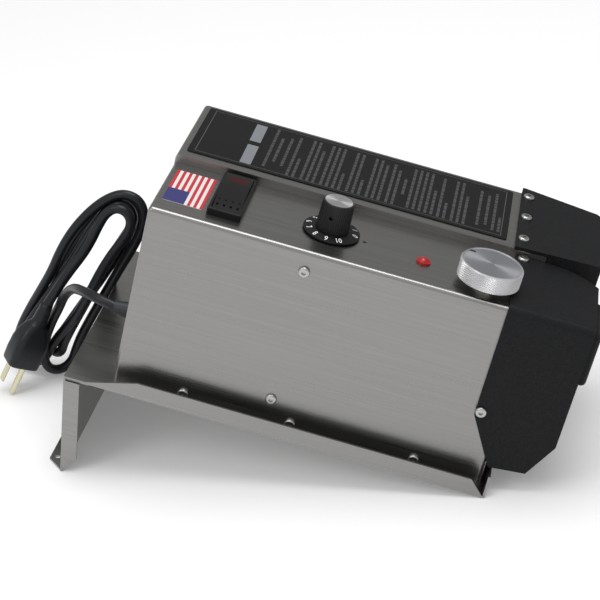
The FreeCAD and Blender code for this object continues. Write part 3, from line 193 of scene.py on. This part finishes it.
KNOB_CENTRE = (264.0, 36.5, 158.0)
DIAL_CENTRE = (153.3, 51.8, 164.7)
STEEL = (0.285, 0.281, 0.273)
MATERIALS = {
    "stainless": brushed_steel("stainless", STEEL, (9, 750, 750), 0.30),
    "guard_black": textured_plastic("guard_black", (0.010, 0.0105, 0.0115), 0.5, 900, 0.0004, 0.55,
                                    gleam=0.12),
    "label_black": new_material("label_black", (0.006, 0.006, 0.0066), 0.0, 0.42, Specular_IOR_Level=0.16),
    "decal": new_material("decal", (0.78, 0.77, 0.76), 0.0, 0.35),
    "abrasive_pink": textured_plastic("abrasive_pink", (0.62, 0.27, 0.30), 0.85, 1600, 0.0003, 0.8),
    "machined_steel": brushed_steel("machined_steel", (0.48, 0.48, 0.48), (900, 900, 900), 0.25),
    "zinc": new_material("zinc", (0.46, 0.46, 0.45), 1.0, 0.28),
    "alloy": new_material("alloy", (0.60, 0.60, 0.61), 1.0, 0.40),
    "knob_metal": new_material("knob_metal", (0.66, 0.66, 0.67), 1.0, 0.30),
    "knob_black": new_material("knob_black", (0.008, 0.008, 0.009), 0.0, 0.38, Specular_IOR_Level=0.3),
    "dial_black": new_material("dial_black", (0.006, 0.006, 0.007), 0.0, 0.40, Specular_IOR_Level=0.22),
    "cap_metal": spun_metal("cap_metal", (0.70, 0.70, 0.71), DIAL_CENTRE, 0.30, 0.08),
    "switch_black": new_material("switch_black", (0.005, 0.005, 0.006), 0.0, 0.34, Specular_IOR_Level=0.25),
    "lens_red": new_material("lens_red", (0.45, 0.012, 0.012), 0.0, 0.22, Transmission_Weight=0.15),
    "rubber_black": new_material("rubber_black", (0.006, 0.007, 0.010), 0.0, 0.36, Specular_IOR_Level=0.35),
    "pin_brass": new_material("pin_brass", (0.70, 0.66, 0.48), 1.0, 0.24),
    "motor_paint": new_material("motor_paint", (0.05, 0.05, 0.055), 0.0, 0.45),
    "board": new_material("board", (0.02, 0.12, 0.05), 0.0, 0.45),
    "nylon": new_material("nylon", (0.78, 0.76, 0.70), 0.0, 0.5),
}
SPECIAL = {
    "rocker_lens": new_material("rocker_lens_red", (0.045, 0.002, 0.003), 0.0, 0.30, Specular_IOR_Level=0.15),
    "cord_relief": new_material("relief_black", (0.014, 0.015, 0.018), 0.0, 0.45),
}
for name, node in NODES.items():
    node.data.materials.clear()
    node.data.materials.append(SPECIAL.get(name) or MATERIALS[SLOTS[name]])


# ------------------------------------------------------------ pieces

def add_mesh(name, vertices, faces, material, body, smooth=False):
    """A new piece from points in the row frame."""
    mesh = bpy.data.meshes.new(name)
    mesh.from_pydata([tuple(vertex) for vertex in vertices], [], faces)
    mesh.update()
    mesh.materials.append(material)
    for face in mesh.polygons:
        face.use_smooth = smooth
    made = bpy.data.objects.new(name, mesh)
    bpy.context.scene.collection.objects.link(made)
    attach(made, body)
    return made


def add_slabs(name, slabs, material, body):
    """Thin boxes given by their low and high corners in the machine's frame."""
    vertices = []
    faces = []
    for low, high in slabs:
        base = len(vertices)
        for z in (low[2], high[2]):
            for x, y in ((low[0], low[1]), (high[0], low[1]), (high[0], high[1]), (low[0], high[1])):
                vertices.append(place((x, y, z)))
        faces.append([base + 3, base + 2, base + 1, base])
        faces.append([base + 4, base + 5, base + 6, base + 7])
        for side in range(4):
            after = (side + 1) % 4
            faces.append([base + side, base + after, base + 4 + after, base + 4 + side])
    return add_mesh(name, vertices, faces, material, body)


def ring_faces(rows, steps):
    """Quads that join each ring of points to the next."""
    faces = []
    for row in range(rows - 1):
        for step in range(steps):
            after = (step + 1) % steps
            low, high = row * steps, (row + 1) * steps
            faces.append([low + step, low + after, high + after, high + step])
    return faces


# ------------------------------------------------------------ mains cord
CORD_DIAMETER = 0.0076
# control points in millimetres, in the row frame
CORD_ROUTE = [
    # out of the strain relief and down into the hank
    (-148.2, -44.5, 105.2), (-160.5, -42.8, 109.6), (-171.8, -35.5, 110.3), (-181.5, -24, 107.2),
    (-190, -10.5, 101.3), (-198.5, 3, 92.5), (-207.5, 15, 80.8), (-214.8, 25, 67), (-223, 27, 52.6),
    (-229.2, 27, 38.3), (-232.4, 27.2, 27), (-232.6, 27.4, 17), (-230.5, 28.8, 10), (-225.7, 33.3, 5.5),
    (-219.7, 38.7, 5.5), (-214.6, 43.2, 10.3),
    # outer loop
    (-211.6, 44.7, 19), (-206.5, 44.3, 30.8), (-200, 44, 42.4), (-192.2, 43.5, 55.6), (-184.7, 43, 68),
    (-177.7, 42.5, 79.8), (-168.5, 42, 94.9), (-159.3, 42, 109.3), (-151.3, 42, 123.5), (-146.4, 42, 138),
    (-149.6, 42, 151.2), (-161, 42, 156.2), (-174, 42, 151.8), (-188.3, 42, 141.2), (-203.2, 42, 125.1),
    (-215, 42, 106.9), (-224, 42.5, 88.2), (-235.5, 46, 69.8), (-247.4, 49.5, 51.3), (-256.6, 50, 34.5),
    (-261.1, 50, 21.5), (-260.8, 49.5, 11), (-255.4, 48, 5.8), (-246.6, 45.5, 6.6), (-237.6, 43.5, 13.4),
    # second loop
    (-229.6, 42.5, 23.4), (-220, 42, 35.6), (-210.4, 43, 49.2), (-199.3, 44, 64.4), (-188, 46.5, 79),
    (-177.8, 49, 93.7), (-167.9, 50, 109.3), (-160.4, 50.5, 123.2), (-156, 50.5, 134),
    (-157.2, 50.5, 142.8), (-164.6, 50.5, 147.6), (-175.3, 50.5, 143.6), (-188, 50.5, 131.8),
    (-201.9, 50.5, 115.6), (-213.1, 50.5, 98), (-222.4, 50.5, 79.4), (-230.8, 51, 59.5), (-236.9, 52, 42.6),
    (-239.7, 52.8, 28), (-237.8, 51.6, 19.8), (-232.9, 48.2, 15.2), (-226.9, 43.9, 15.1),
    (-222, 39.9, 19.4), (-219.2, 37.5, 27),
    # third loop
    (-213.6, 35.6, 37.5), (-206.8, 35.2, 49.5), (-198.6, 35.5, 63.2), (-190, 37, 78.6), (-181.3, 40, 93.2),
    (-172.3, 42, 108.1), (-163.6, 42.5, 120.4), (-157.4, 42.5, 130), (-155.6, 42.5, 138.6),
    (-159, 42.5, 145.4), (-166.2, 42.6, 147.8), (-174.6, 42.8, 143.4), (-183, 43, 133.6), (-193.6, 43, 119),
    (-203.5, 43, 102.9), (-214.5, 42.5, 87), (-226.2, 42, 70.6), (-238, 42, 54.4), (-249.2, 42, 38.7),
    (-256.2, 41.6, 26.5), (-255.8, 40.6, 16.2), (-249.6, 38.6, 10.2), (-241.4, 36.6, 10),
    (-234.2, 35.2, 15.6), (-229.4, 34, 24),
    # inner loop and down to the plug
    (-222.6, 31.8, 34), (-213.6, 29, 45.5), (-203.1, 26.8, 57.5), (-194.1, 25.5, 71.8),
    (-186.6, 26.5, 85.7), (-178.7, 28.5, 99.7), (-170, 30, 112.5), (-161.8, 31.5, 122.4),
    (-156.4, 32.3, 130.6), (-154.8, 33, 139), (-158.6, 33.3, 145.8), (-166, 33.7, 148), (-174, 34, 143.4),
    (-180.8, 33.8, 133), (-187.2, 33, 120.4), (-194.6, 30.5, 108.8), (-203.6, 26, 98), (-213.5, 21.6, 84.5),
    (-222.3, 18.6, 71.4),
]


def mains_cord(plug_pieces):
    """One strand from the strain relief through all the loops to the plug."""
    curve = bpy.data.curves.new("mains_cord", "CURVE")
    curve.dimensions = "3D"
    curve.resolution_u = 10
    curve.bevel_depth = CORD_DIAMETER / 2
    curve.bevel_resolution = 6
    curve.use_fill_caps = True
    spline = curve.splines.new("NURBS")
    spline.points.add(len(CORD_ROUTE) - 1)
    for point, (x, y, z) in zip(spline.points, CORD_ROUTE):
        point.co = (x / 1000, y / 1000, z / 1000, 1)
    spline.order_u = 3
    spline.use_endpoint_u = True
    curve.materials.append(MATERIALS["rubber_black"])
    made = bpy.data.objects.new("mains_cord", curve)
    bpy.context.scene.collection.objects.link(made)
    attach(made, "frame")
    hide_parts("cord_lead", "cord_hank", "cord_tail")


# ------------------------------------------------------------ moulded plug
PLUG_FACE = Vector((-248.0, 9.2, 20.2))
PLUG_ALONG = Vector((0.44, 0.16, 0.88)).normalized()
PLUG_ACROSS = Vector((0.689, 0.571, -0.444))
PLUG_ACROSS = (PLUG_ACROSS - PLUG_ALONG * PLUG_ACROSS.dot(PLUG_ALONG)).normalized()
PLUG_THROUGH = PLUG_ALONG.cross(PLUG_ACROSS)
# height along the plug, half width, half thickness, squareness of the section
PLUG_SECTIONS = [(3.5, 0.1, 0.1, 5), (3.5, 11.6, 9.2, 5), (4.0, 12.4, 10.0, 5), (5.5, 12.8, 10.3, 5),
                 (14, 13.1, 10.6, 5), (24, 13.0, 10.4, 4.5), (30, 12.1, 9.6, 4), (35, 10.6, 8.6, 3.2),
                 (39, 8.4, 7.4, 2.6), (41, 6.9, 6.6, 2.2), (41.6, 6.2, 6.1, 2), (44, 6.0, 6.0, 2),
                 (46, 5.6, 5.6, 2), (48, 5.7, 5.7, 2), (51, 5.3, 5.3, 2), (53, 4.9, 4.9, 2),
                 (55, 5.0, 5.0, 2), (58, 4.5, 4.5, 2), (58.2, 3.6, 3.6, 2)]
BLADE_SECTIONS = [(-15.9, 0.4, 2.6, 4), (-15.2, 0.75, 3.2, 6), (4.0, 0.75, 3.2, 6)]
EARTH_PIN_SECTIONS = [(-20.3, 0.3, 0.3, 2), (-19.9, 1.3, 1.3, 2), (-19.0, 2.0, 2.0, 2), (-17.8, 2.4, 2.4, 2),
                      (4.0, 2.4, 2.4, 2)]
BLADE_SPACING = 12.7
BLADE_THROUGH = 4.0
EARTH_PIN_THROUGH = -7.0
PLUG_SIDES = 72
PIN_SIDES = 28


def plug_point(across, through, along):
    """A point given in the plug's own directions, in the row frame in metres."""
    return (PLUG_FACE + PLUG_ACROSS * across + PLUG_THROUGH * through + PLUG_ALONG * along) / 1000


def loft(sections, count, centre=(0.0, 0.0)):
    """Vertices and faces of a stack of superelliptic sections along the plug."""
    vertices = []
    for along, wide, thick, square in sections:
        for step in range(count):
            angle = 2 * math.pi * step / count
            cosine, sine = math.cos(angle), math.sin(angle)
            across = wide * math.copysign(abs(cosine) ** (2 / square), cosine)
            through = thick * math.copysign(abs(sine) ** (2 / square), sine)
            vertices.append(plug_point(centre[0] + across, centre[1] + through, along))
    faces = ring_faces(len(sections), count)
    last = (len(sections) - 1) * count
    faces.append([last + step for step in range(count)])
    faces.append([count - 1 - step for step in range(count)])
    return vertices, faces


def moulded_plug():
    """Body with a domed shoulder and ribbed neck, two flat blades and a round earth pin."""
    vertices, faces = loft(PLUG_SECTIONS, PLUG_SIDES)
    body = add_mesh("plug_moulding", vertices, faces, MATERIALS["rubber_black"], "frame",
                    smooth=True)
    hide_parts("plug_body")
    pins = [(BLADE_SECTIONS, (-BLADE_SPACING / 2, BLADE_THROUGH)),
            (BLADE_SECTIONS, (BLADE_SPACING / 2, BLADE_THROUGH)),
            (EARTH_PIN_SECTIONS, (0.0, EARTH_PIN_THROUGH))]
    vertices = []
    faces = []
    for sections, centre in pins:
        more, sides = loft(sections, PIN_SIDES, centre)
        base = len(vertices)
        vertices += more
        faces += [[base + index for index in side] for side in sides]
    blades = add_mesh("plug_blades", vertices, faces, MATERIALS["pin_brass"], "frame")
    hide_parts("plug_pins")
    return [body, blades]


mains_cord(moulded_plug())

# ------------------------------------------------------------ big knob with a knurled rim
KNOB_X, KNOB_Y = 264.0, 36.5
KNOB_RADIUS = 22.0
KNOB_BOTTOM, KNOB_TOP = 145.5, 158.5
COLLAR_RADIUS = 8.0
COLLAR_HEIGHT = 2.5
FACE_SINK = 0.4
KNURLS = 84
KNURL_DEPTH = 0.55


def knurl(angle, height):
    """Diamond knurl: two crossing sets of slanted grooves."""
    turns = angle / (2 * math.pi) * KNURLS
    rise = height / (2 * math.pi * KNOB_RADIUS / KNURLS)
    first = abs(2 * ((turns + rise) % 1) - 1)
    second = abs(2 * ((turns - rise) % 1) - 1)
    return KNURL_DEPTH * min(first, second)


def knurled_knob():
    """Collar, knurled rim between two chamfers, and the turned face with its black mark."""
    steps = KNURLS * 6
    rows = [(COLLAR_RADIUS, KNOB_BOTTOM - COLLAR_HEIGHT, 0), (COLLAR_RADIUS, KNOB_BOTTOM, 0),
            (KNOB_RADIUS - 1.2, KNOB_BOTTOM, 0)]
    low, high = KNOB_BOTTOM + 0.9, KNOB_TOP - 1.1
    levels = 40
    for level in range(levels + 1):
        rows.append((KNOB_RADIUS - KNURL_DEPTH, low + (high - low) * level / levels, 1))
    rows += [(KNOB_RADIUS - 1.3, KNOB_TOP, 0), (KNOB_RADIUS - 2.2, KNOB_TOP, 0),
             (KNOB_RADIUS - 2.3, KNOB_TOP - FACE_SINK, 0)]
    vertices = []
    for radius, height, cut in rows:
        for step in range(steps):
            angle = 2 * math.pi * step / steps
            reach = radius + (knurl(angle, height) if cut else 0)
            x = KNOB_X + reach * math.cos(angle)
            y = KNOB_Y + reach * math.sin(angle)
            vertices.append(place((x, y, height)))
    faces = ring_faces(len(rows), steps)
    rim = add_mesh("knurled_rim", vertices, faces, MATERIALS["knob_metal"], "angle_knob")
    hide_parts("angle_knob")
    ring = 96
    face_z = KNOB_TOP - FACE_SINK
    vertices = [place((KNOB_X, KNOB_Y, face_z))]
    for radius in (10.0, KNOB_RADIUS - 2.25):
        for step in range(ring):
            angle = 2 * math.pi * step / ring
            x = KNOB_X + radius * math.cos(angle)
            y = KNOB_Y + radius * math.sin(angle)
            vertices.append(place((x, y, face_z)))
    faces = [[0, 1 + step, 1 + (step + 1) % ring] for step in range(ring)]
    for step in range(ring):
        after = (step + 1) % ring
        faces.append([1 + step, 1 + ring + step, 1 + ring + after, 1 + after])
    face_metal = spun_metal("knob_face", (0.50, 0.51, 0.54), KNOB_CENTRE, 0.30, 0.06)
    add_mesh("knob_face", vertices, faces, face_metal, "angle_knob")
    black = new_material("mark_black", (0.004, 0.004, 0.004), 0.0, 0.5)
    mark = ((KNOB_X - 17, KNOB_Y + 9.7, face_z), (KNOB_X - 12.6, KNOB_Y + 11.7, face_z + 0.15))
    add_slabs("knob_mark", [mark], black, "angle_knob")


knurled_knob()

# ------------------------------------------------------------ speed dial: figures, knob, index dot
DIAL_X, DIAL_Y = 153.3, 51.8
SKIRT_RADIUS = 20.0
SKIRT_EDGE_Z = 142.3
SKIRT_SLOPE = 1.6 / 6.0
FIRST_FIGURE = -6
FIGURE_STEP = 30
FIGURE_RADIUS = 16.9
FIGURE_NARROWING = 0.9
FIGURE_LIFT = 0.06
FIGURE_SIZE = 5.6
WHITE = new_material("print_white", (0.85, 0.85, 0.84), 0.0, 0.5)


def dial_figures():
    """White figures 0 to 10 round the skirt, each with its top towards the middle."""
    vertices = []
    faces = []
    for figure in range(11):
        text = bpy.data.curves.new("figure", "FONT")
        text.body = str(figure)
        text.size = FIGURE_SIZE
        text.align_x = "CENTER"
        text.align_y = "CENTER"
        text.offset = 0.05
        holder = bpy.data.objects.new("figure", text)
        bpy.context.scene.collection.objects.link(holder)
        bpy.context.view_layer.update()
        flat = bpy.data.meshes.new_from_object(holder)
        bpy.data.objects.remove(holder)
        angle = math.radians(FIRST_FIGURE + FIGURE_STEP * figure)
        base = len(vertices)
        for vertex in flat.vertices:
            inward = vertex.co.y
            along = vertex.co.x * FIGURE_NARROWING
            radius = FIGURE_RADIUS - inward
            x = DIAL_X + radius * math.cos(angle) - along * math.sin(angle)
            y = DIAL_Y + radius * math.sin(angle) + along * math.cos(angle)
            reach = math.hypot(x - DIAL_X, y - DIAL_Y)
            z = SKIRT_EDGE_Z + (SKIRT_RADIUS - reach) * SKIRT_SLOPE + FIGURE_LIFT
            vertices.append(place((x, y, z)))
        faces += [[base + index for index in face.vertices] for face in flat.polygons]
        bpy.data.meshes.remove(flat)
    add_mesh("dial_figures", vertices, faces, WHITE, "speed_knob")


FLUTES = 48
FLUTE_DEPTH = 0.22
SCREW_HOLE_ANGLE = math.radians(-100)
SCREW_HOLE_Z = 155.5
SCREW_HOLE_RADIUS = 1.45
SCREW_HOLE_DEPTH = 2.2
FLUTED_RADIUS = 11.8
FLUTED_TAPER = 0.8


def fluted_knob():
    """Speed knob body: almost a cylinder, with fine flutes and the recess of its set screw."""
    bottom, shoulder = 144.3, 163.5
    steps = FLUTES * 5
    levels = 56
    rows = [(3.2, 143.95, 0), (11.5, 143.95, 0), (11.75, bottom - 0.1, 0)]
    for level in range(levels + 1):
        share = level / levels
        rows.append((FLUTED_RADIUS - FLUTED_TAPER * share, bottom + (shoulder - bottom) * share, 1))
    rows += [(10.85, 164.2, 0), (10.4, 164.65, 0), (9.75, 164.65, 0), (9.75, 163.6, 0)]
    vertices = []
    for radius, height, cut in rows:
        for step in range(steps):
            angle = 2 * math.pi * step / steps
            reach = radius
            if cut:
                reach -= FLUTE_DEPTH * (0.5 + 0.5 * math.cos(FLUTES * angle)) ** 2
                turn = angle - SCREW_HOLE_ANGLE
                aside = radius * math.atan2(math.sin(turn), math.cos(turn))
                if math.hypot(aside, height - SCREW_HOLE_Z) < SCREW_HOLE_RADIUS:
                    reach = radius - SCREW_HOLE_DEPTH
            x = DIAL_X + reach * math.cos(angle)
            y = DIAL_Y + reach * math.sin(angle)
            vertices.append(place((x, y, height)))
    faces = ring_faces(len(rows), steps)
    body = add_mesh("fluted_knob", vertices, faces, MATERIALS["knob_black"], "speed_knob")
    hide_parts("speed_knob")


fluted_knob()
dial_figures()
INK = new_material("ink_black", (0.006, 0.006, 0.006), 0.0, 0.5)


DOT_CENTRE = (177.3, 50.6, 140.53)
DOT_RADIUS = 1.5
DOT_SIDES = 24


def index_dot():
    """The printed dot on the cover that the dial's figures are read against."""
    vertices = []
    for step in range(DOT_SIDES):
        angle = 2 * math.pi * step / DOT_SIDES
        x = DOT_CENTRE[0] + DOT_RADIUS * math.cos(angle)
        y = DOT_CENTRE[1] + DOT_RADIUS * math.sin(angle)
        vertices.append(place((x, y, DOT_CENTRE[2])))
    add_mesh("index_dot", vertices, [list(range(DOT_SIDES))], INK, "frame")


index_dot()

# ------------------------------------------------------------ printed plate
PLATE_Z = 147.6
PRINT_Z = 0.03
GREY_PRINT = new_material("print_grey", (0.050, 0.050, 0.053), 0.0, 0.5)
BORDER_PRINT = new_material("print_border", (0.09, 0.09, 0.093), 0.0, 0.5)
BOX_PRINT = new_material("print_box", (0.20, 0.21, 0.23), 0.0, 0.45)
LEFT, RIGHT, NEAR, FAR = 37.5, 272.5, 101.5, 185.5
# paragraphs of bars: X of the first row, number of rows, low and high Y of the rows
PARAGRAPHS = [(91, 1, 110, 180), (96.5, 1, 122, 166), (103, 1, 118, 170), (109, 2, 106, 176),
              (119.5, 3, 106, 178), (134, 4, 106, 178), (153, 3, 107, 178), (167.5, 3, 107, 178),
              (182, 2, 107, 176), (192, 1, 128, 156), (197.5, 5, 108, 178), (220, 2, 107, 176),
              (230, 3, 107, 177), (248.5, 1, 112, 172), (254.5, 1, 116, 168), (260, 2, 110, 174)]
BORDER_LINE = 0.45
BORDER_INSET_X = 5.0
BORDER_INSET_Y = 3.5
WORD_SHORTEST, WORD_LONGEST, WORD_GAP = 2.5, 8.0, 0.9
# low and high corners of the two boxes, in X and Y
BOXES = [((75, 147), (83.2, 179)), ((75.3, 106.5), (83.5, 140))]
ROW_PITCH = 4.4
ROW_WIDTH = 2.1


def plate_print():
    """Rows of bars in place of the instruction text, a border line and two boxes."""
    spread = random.Random(7)
    top = PLATE_Z + PRINT_Z
    bars = []
    for first, count, low, high in PARAGRAPHS:
        for row in range(count):
            x = first + row * ROW_PITCH
            y = low
            end = high if row < count - 1 or count == 1 else low + (high - low) * spread.uniform(0.35, 0.9)
            while y < end:
                word = spread.uniform(WORD_SHORTEST, WORD_LONGEST)
                stop = min(y + word, end)
                bars.append(((x, y, PLATE_Z), (x + ROW_WIDTH, stop, top)))
                y = stop + WORD_GAP
    add_slabs("plate_text_rows", bars, GREY_PRINT, "frame")
    left, right = LEFT + BORDER_INSET_X, RIGHT - BORDER_INSET_X
    near, far = NEAR + BORDER_INSET_Y, FAR - BORDER_INSET_Y
    border = [((x, near, PLATE_Z), (x + BORDER_LINE, far, top)) for x in (left, right)]
    border += [((left, y, PLATE_Z), (right, y + BORDER_LINE, top)) for y in (near, far)]
    add_slabs("plate_border", border, BORDER_PRINT, "frame")
    boxes = [((*low, PLATE_Z), (*high, top)) for low, high in BOXES]
    add_slabs("plate_boxes", boxes, BOX_PRINT, "frame")


plate_print()

# ------------------------------------------------------------ striped film behind the switch
DECAL_TOP = 140.75
STRIPE_RED = new_material("stripe_red", (0.55, 0.022, 0.035), 0.0, 0.35)
STRIPE_BLUE = new_material("stripe_blue", (0.030, 0.030, 0.16), 0.0, 0.35)


STRIPES = 13
BLOCK_STRIPES = 7
BLOCK_WIDTH = 20.5
FILM_LEFT, FILM_RIGHT, FILM_NEAR, FILM_FAR = 37.3, 65.8, 30.5, 81.0


def film_print():
    """Alternate stripes along the film and a plain block over one corner."""
    pitch = (FILM_RIGHT - FILM_LEFT) / STRIPES
    red = []
    for index in range(0, STRIPES, 2):
        low = (FILM_LEFT + index * pitch, FILM_NEAR, DECAL_TOP)
        high = (FILM_LEFT + (index + 1) * pitch, FILM_FAR, DECAL_TOP + 0.02)
        red.append((low, high))
    add_slabs("film_red_stripes", red, STRIPE_RED, "frame")
    corner = (FILM_LEFT + BLOCK_STRIPES * pitch, FILM_NEAR + BLOCK_WIDTH, DECAL_TOP + 0.04)
    add_slabs("film_blue_block", [((FILM_LEFT, FILM_NEAR, DECAL_TOP), corner)], STRIPE_BLUE, "frame")


film_print()

# ------------------------------------------------------------ floor, light, camera
def floor():
    """A wide pale floor that glows faintly, which keeps the shadows light."""
    mesh = bpy.data.meshes.new("floor")
    reach = 12.0
    corners = [(-reach, -reach, 0), (reach, -reach, 0), (reach, reach, 0), (-reach, reach, 0)]
    mesh.from_pydata(corners, [], [[0, 1, 2, 3]])
    white = new_material("floor_white", (0.86, 0.86, 0.86), 0.0, 0.8, Emission_Color=(0.9, 0.9, 0.9, 1.0),
                         Emission_Strength=0.15)
    mesh.materials.append(white)
    made = bpy.data.objects.new("floor", mesh)
    bpy.context.scene.collection.objects.link(made)


def area_light(name, location, target, size, power):
    light = bpy.data.lights.new(name, "AREA")
    light.shape = "DISK"
    light.size = size
    light.energy = power
    made = bpy.data.objects.new(name, light)
    made.location = location
    made.rotation_mode = "QUATERNION"
    made.rotation_quaternion = (Vector(target) - Vector(location)).to_track_quat("-Z", "Y")
    bpy.context.scene.collection.objects.link(made)


def sky():
    """Brighter in front and overhead than behind, so that the top panels stay darker than the near face."""
    world = bpy.data.worlds.new("sky")
    world.use_nodes = True
    tree = world.node_tree
    background = tree.nodes["Background"]
    source = add_node(tree, "ShaderNodeTexCoord")
    facing = add_node(tree, "ShaderNodeVectorMath", operation="DOT_PRODUCT")
    facing.inputs[1].default_value = Vector((-0.25, -0.75, 0.61)).normalized()
    tree.links.new(source.outputs["Generated"], facing.inputs[0])
    level = ramp_between(tree, facing.outputs["Value"], 0.31, 0.80, -0.6, 0.95)
    tree.links.new(level, background.inputs["Strength"])
    background.inputs["Color"].default_value = (1, 1, 1, 1)
    bpy.context.scene.world = world


def camera():
    """Long lens a little above the near side; the three vectors are its own axes."""
    lens = bpy.data.cameras.new("camera")
    lens.lens = 107.5
    lens.sensor_width = 36.0
    lens.clip_start = 0.05
    lens.clip_end = 60.0
    made = bpy.data.objects.new("camera", lens)
    right = Vector((0.98622, 0.16263, -0.03042))
    up = Vector((-0.04694, 0.45133, 0.89112))
    back = Vector((0.15866, -0.87741, 0.45275))
    turn = Matrix((right, up, back)).transposed().to_4x4()
    made.matrix_world = Matrix.Translation((0.185756, -1.151512, 0.689266)) @ turn
    bpy.context.scene.collection.objects.link(made)
    bpy.context.scene.camera = made


floor()
area_light("key", (-1.1, -1.3, 1.5), (0, 0, 0.08), 0.9, 6)
area_light("top", (0.2, 0.1, 2.4), (0, 0, 0.1), 1.6, 27)
sky()
camera()
bpy.context.scene.view_settings.view_transform = "Standard"
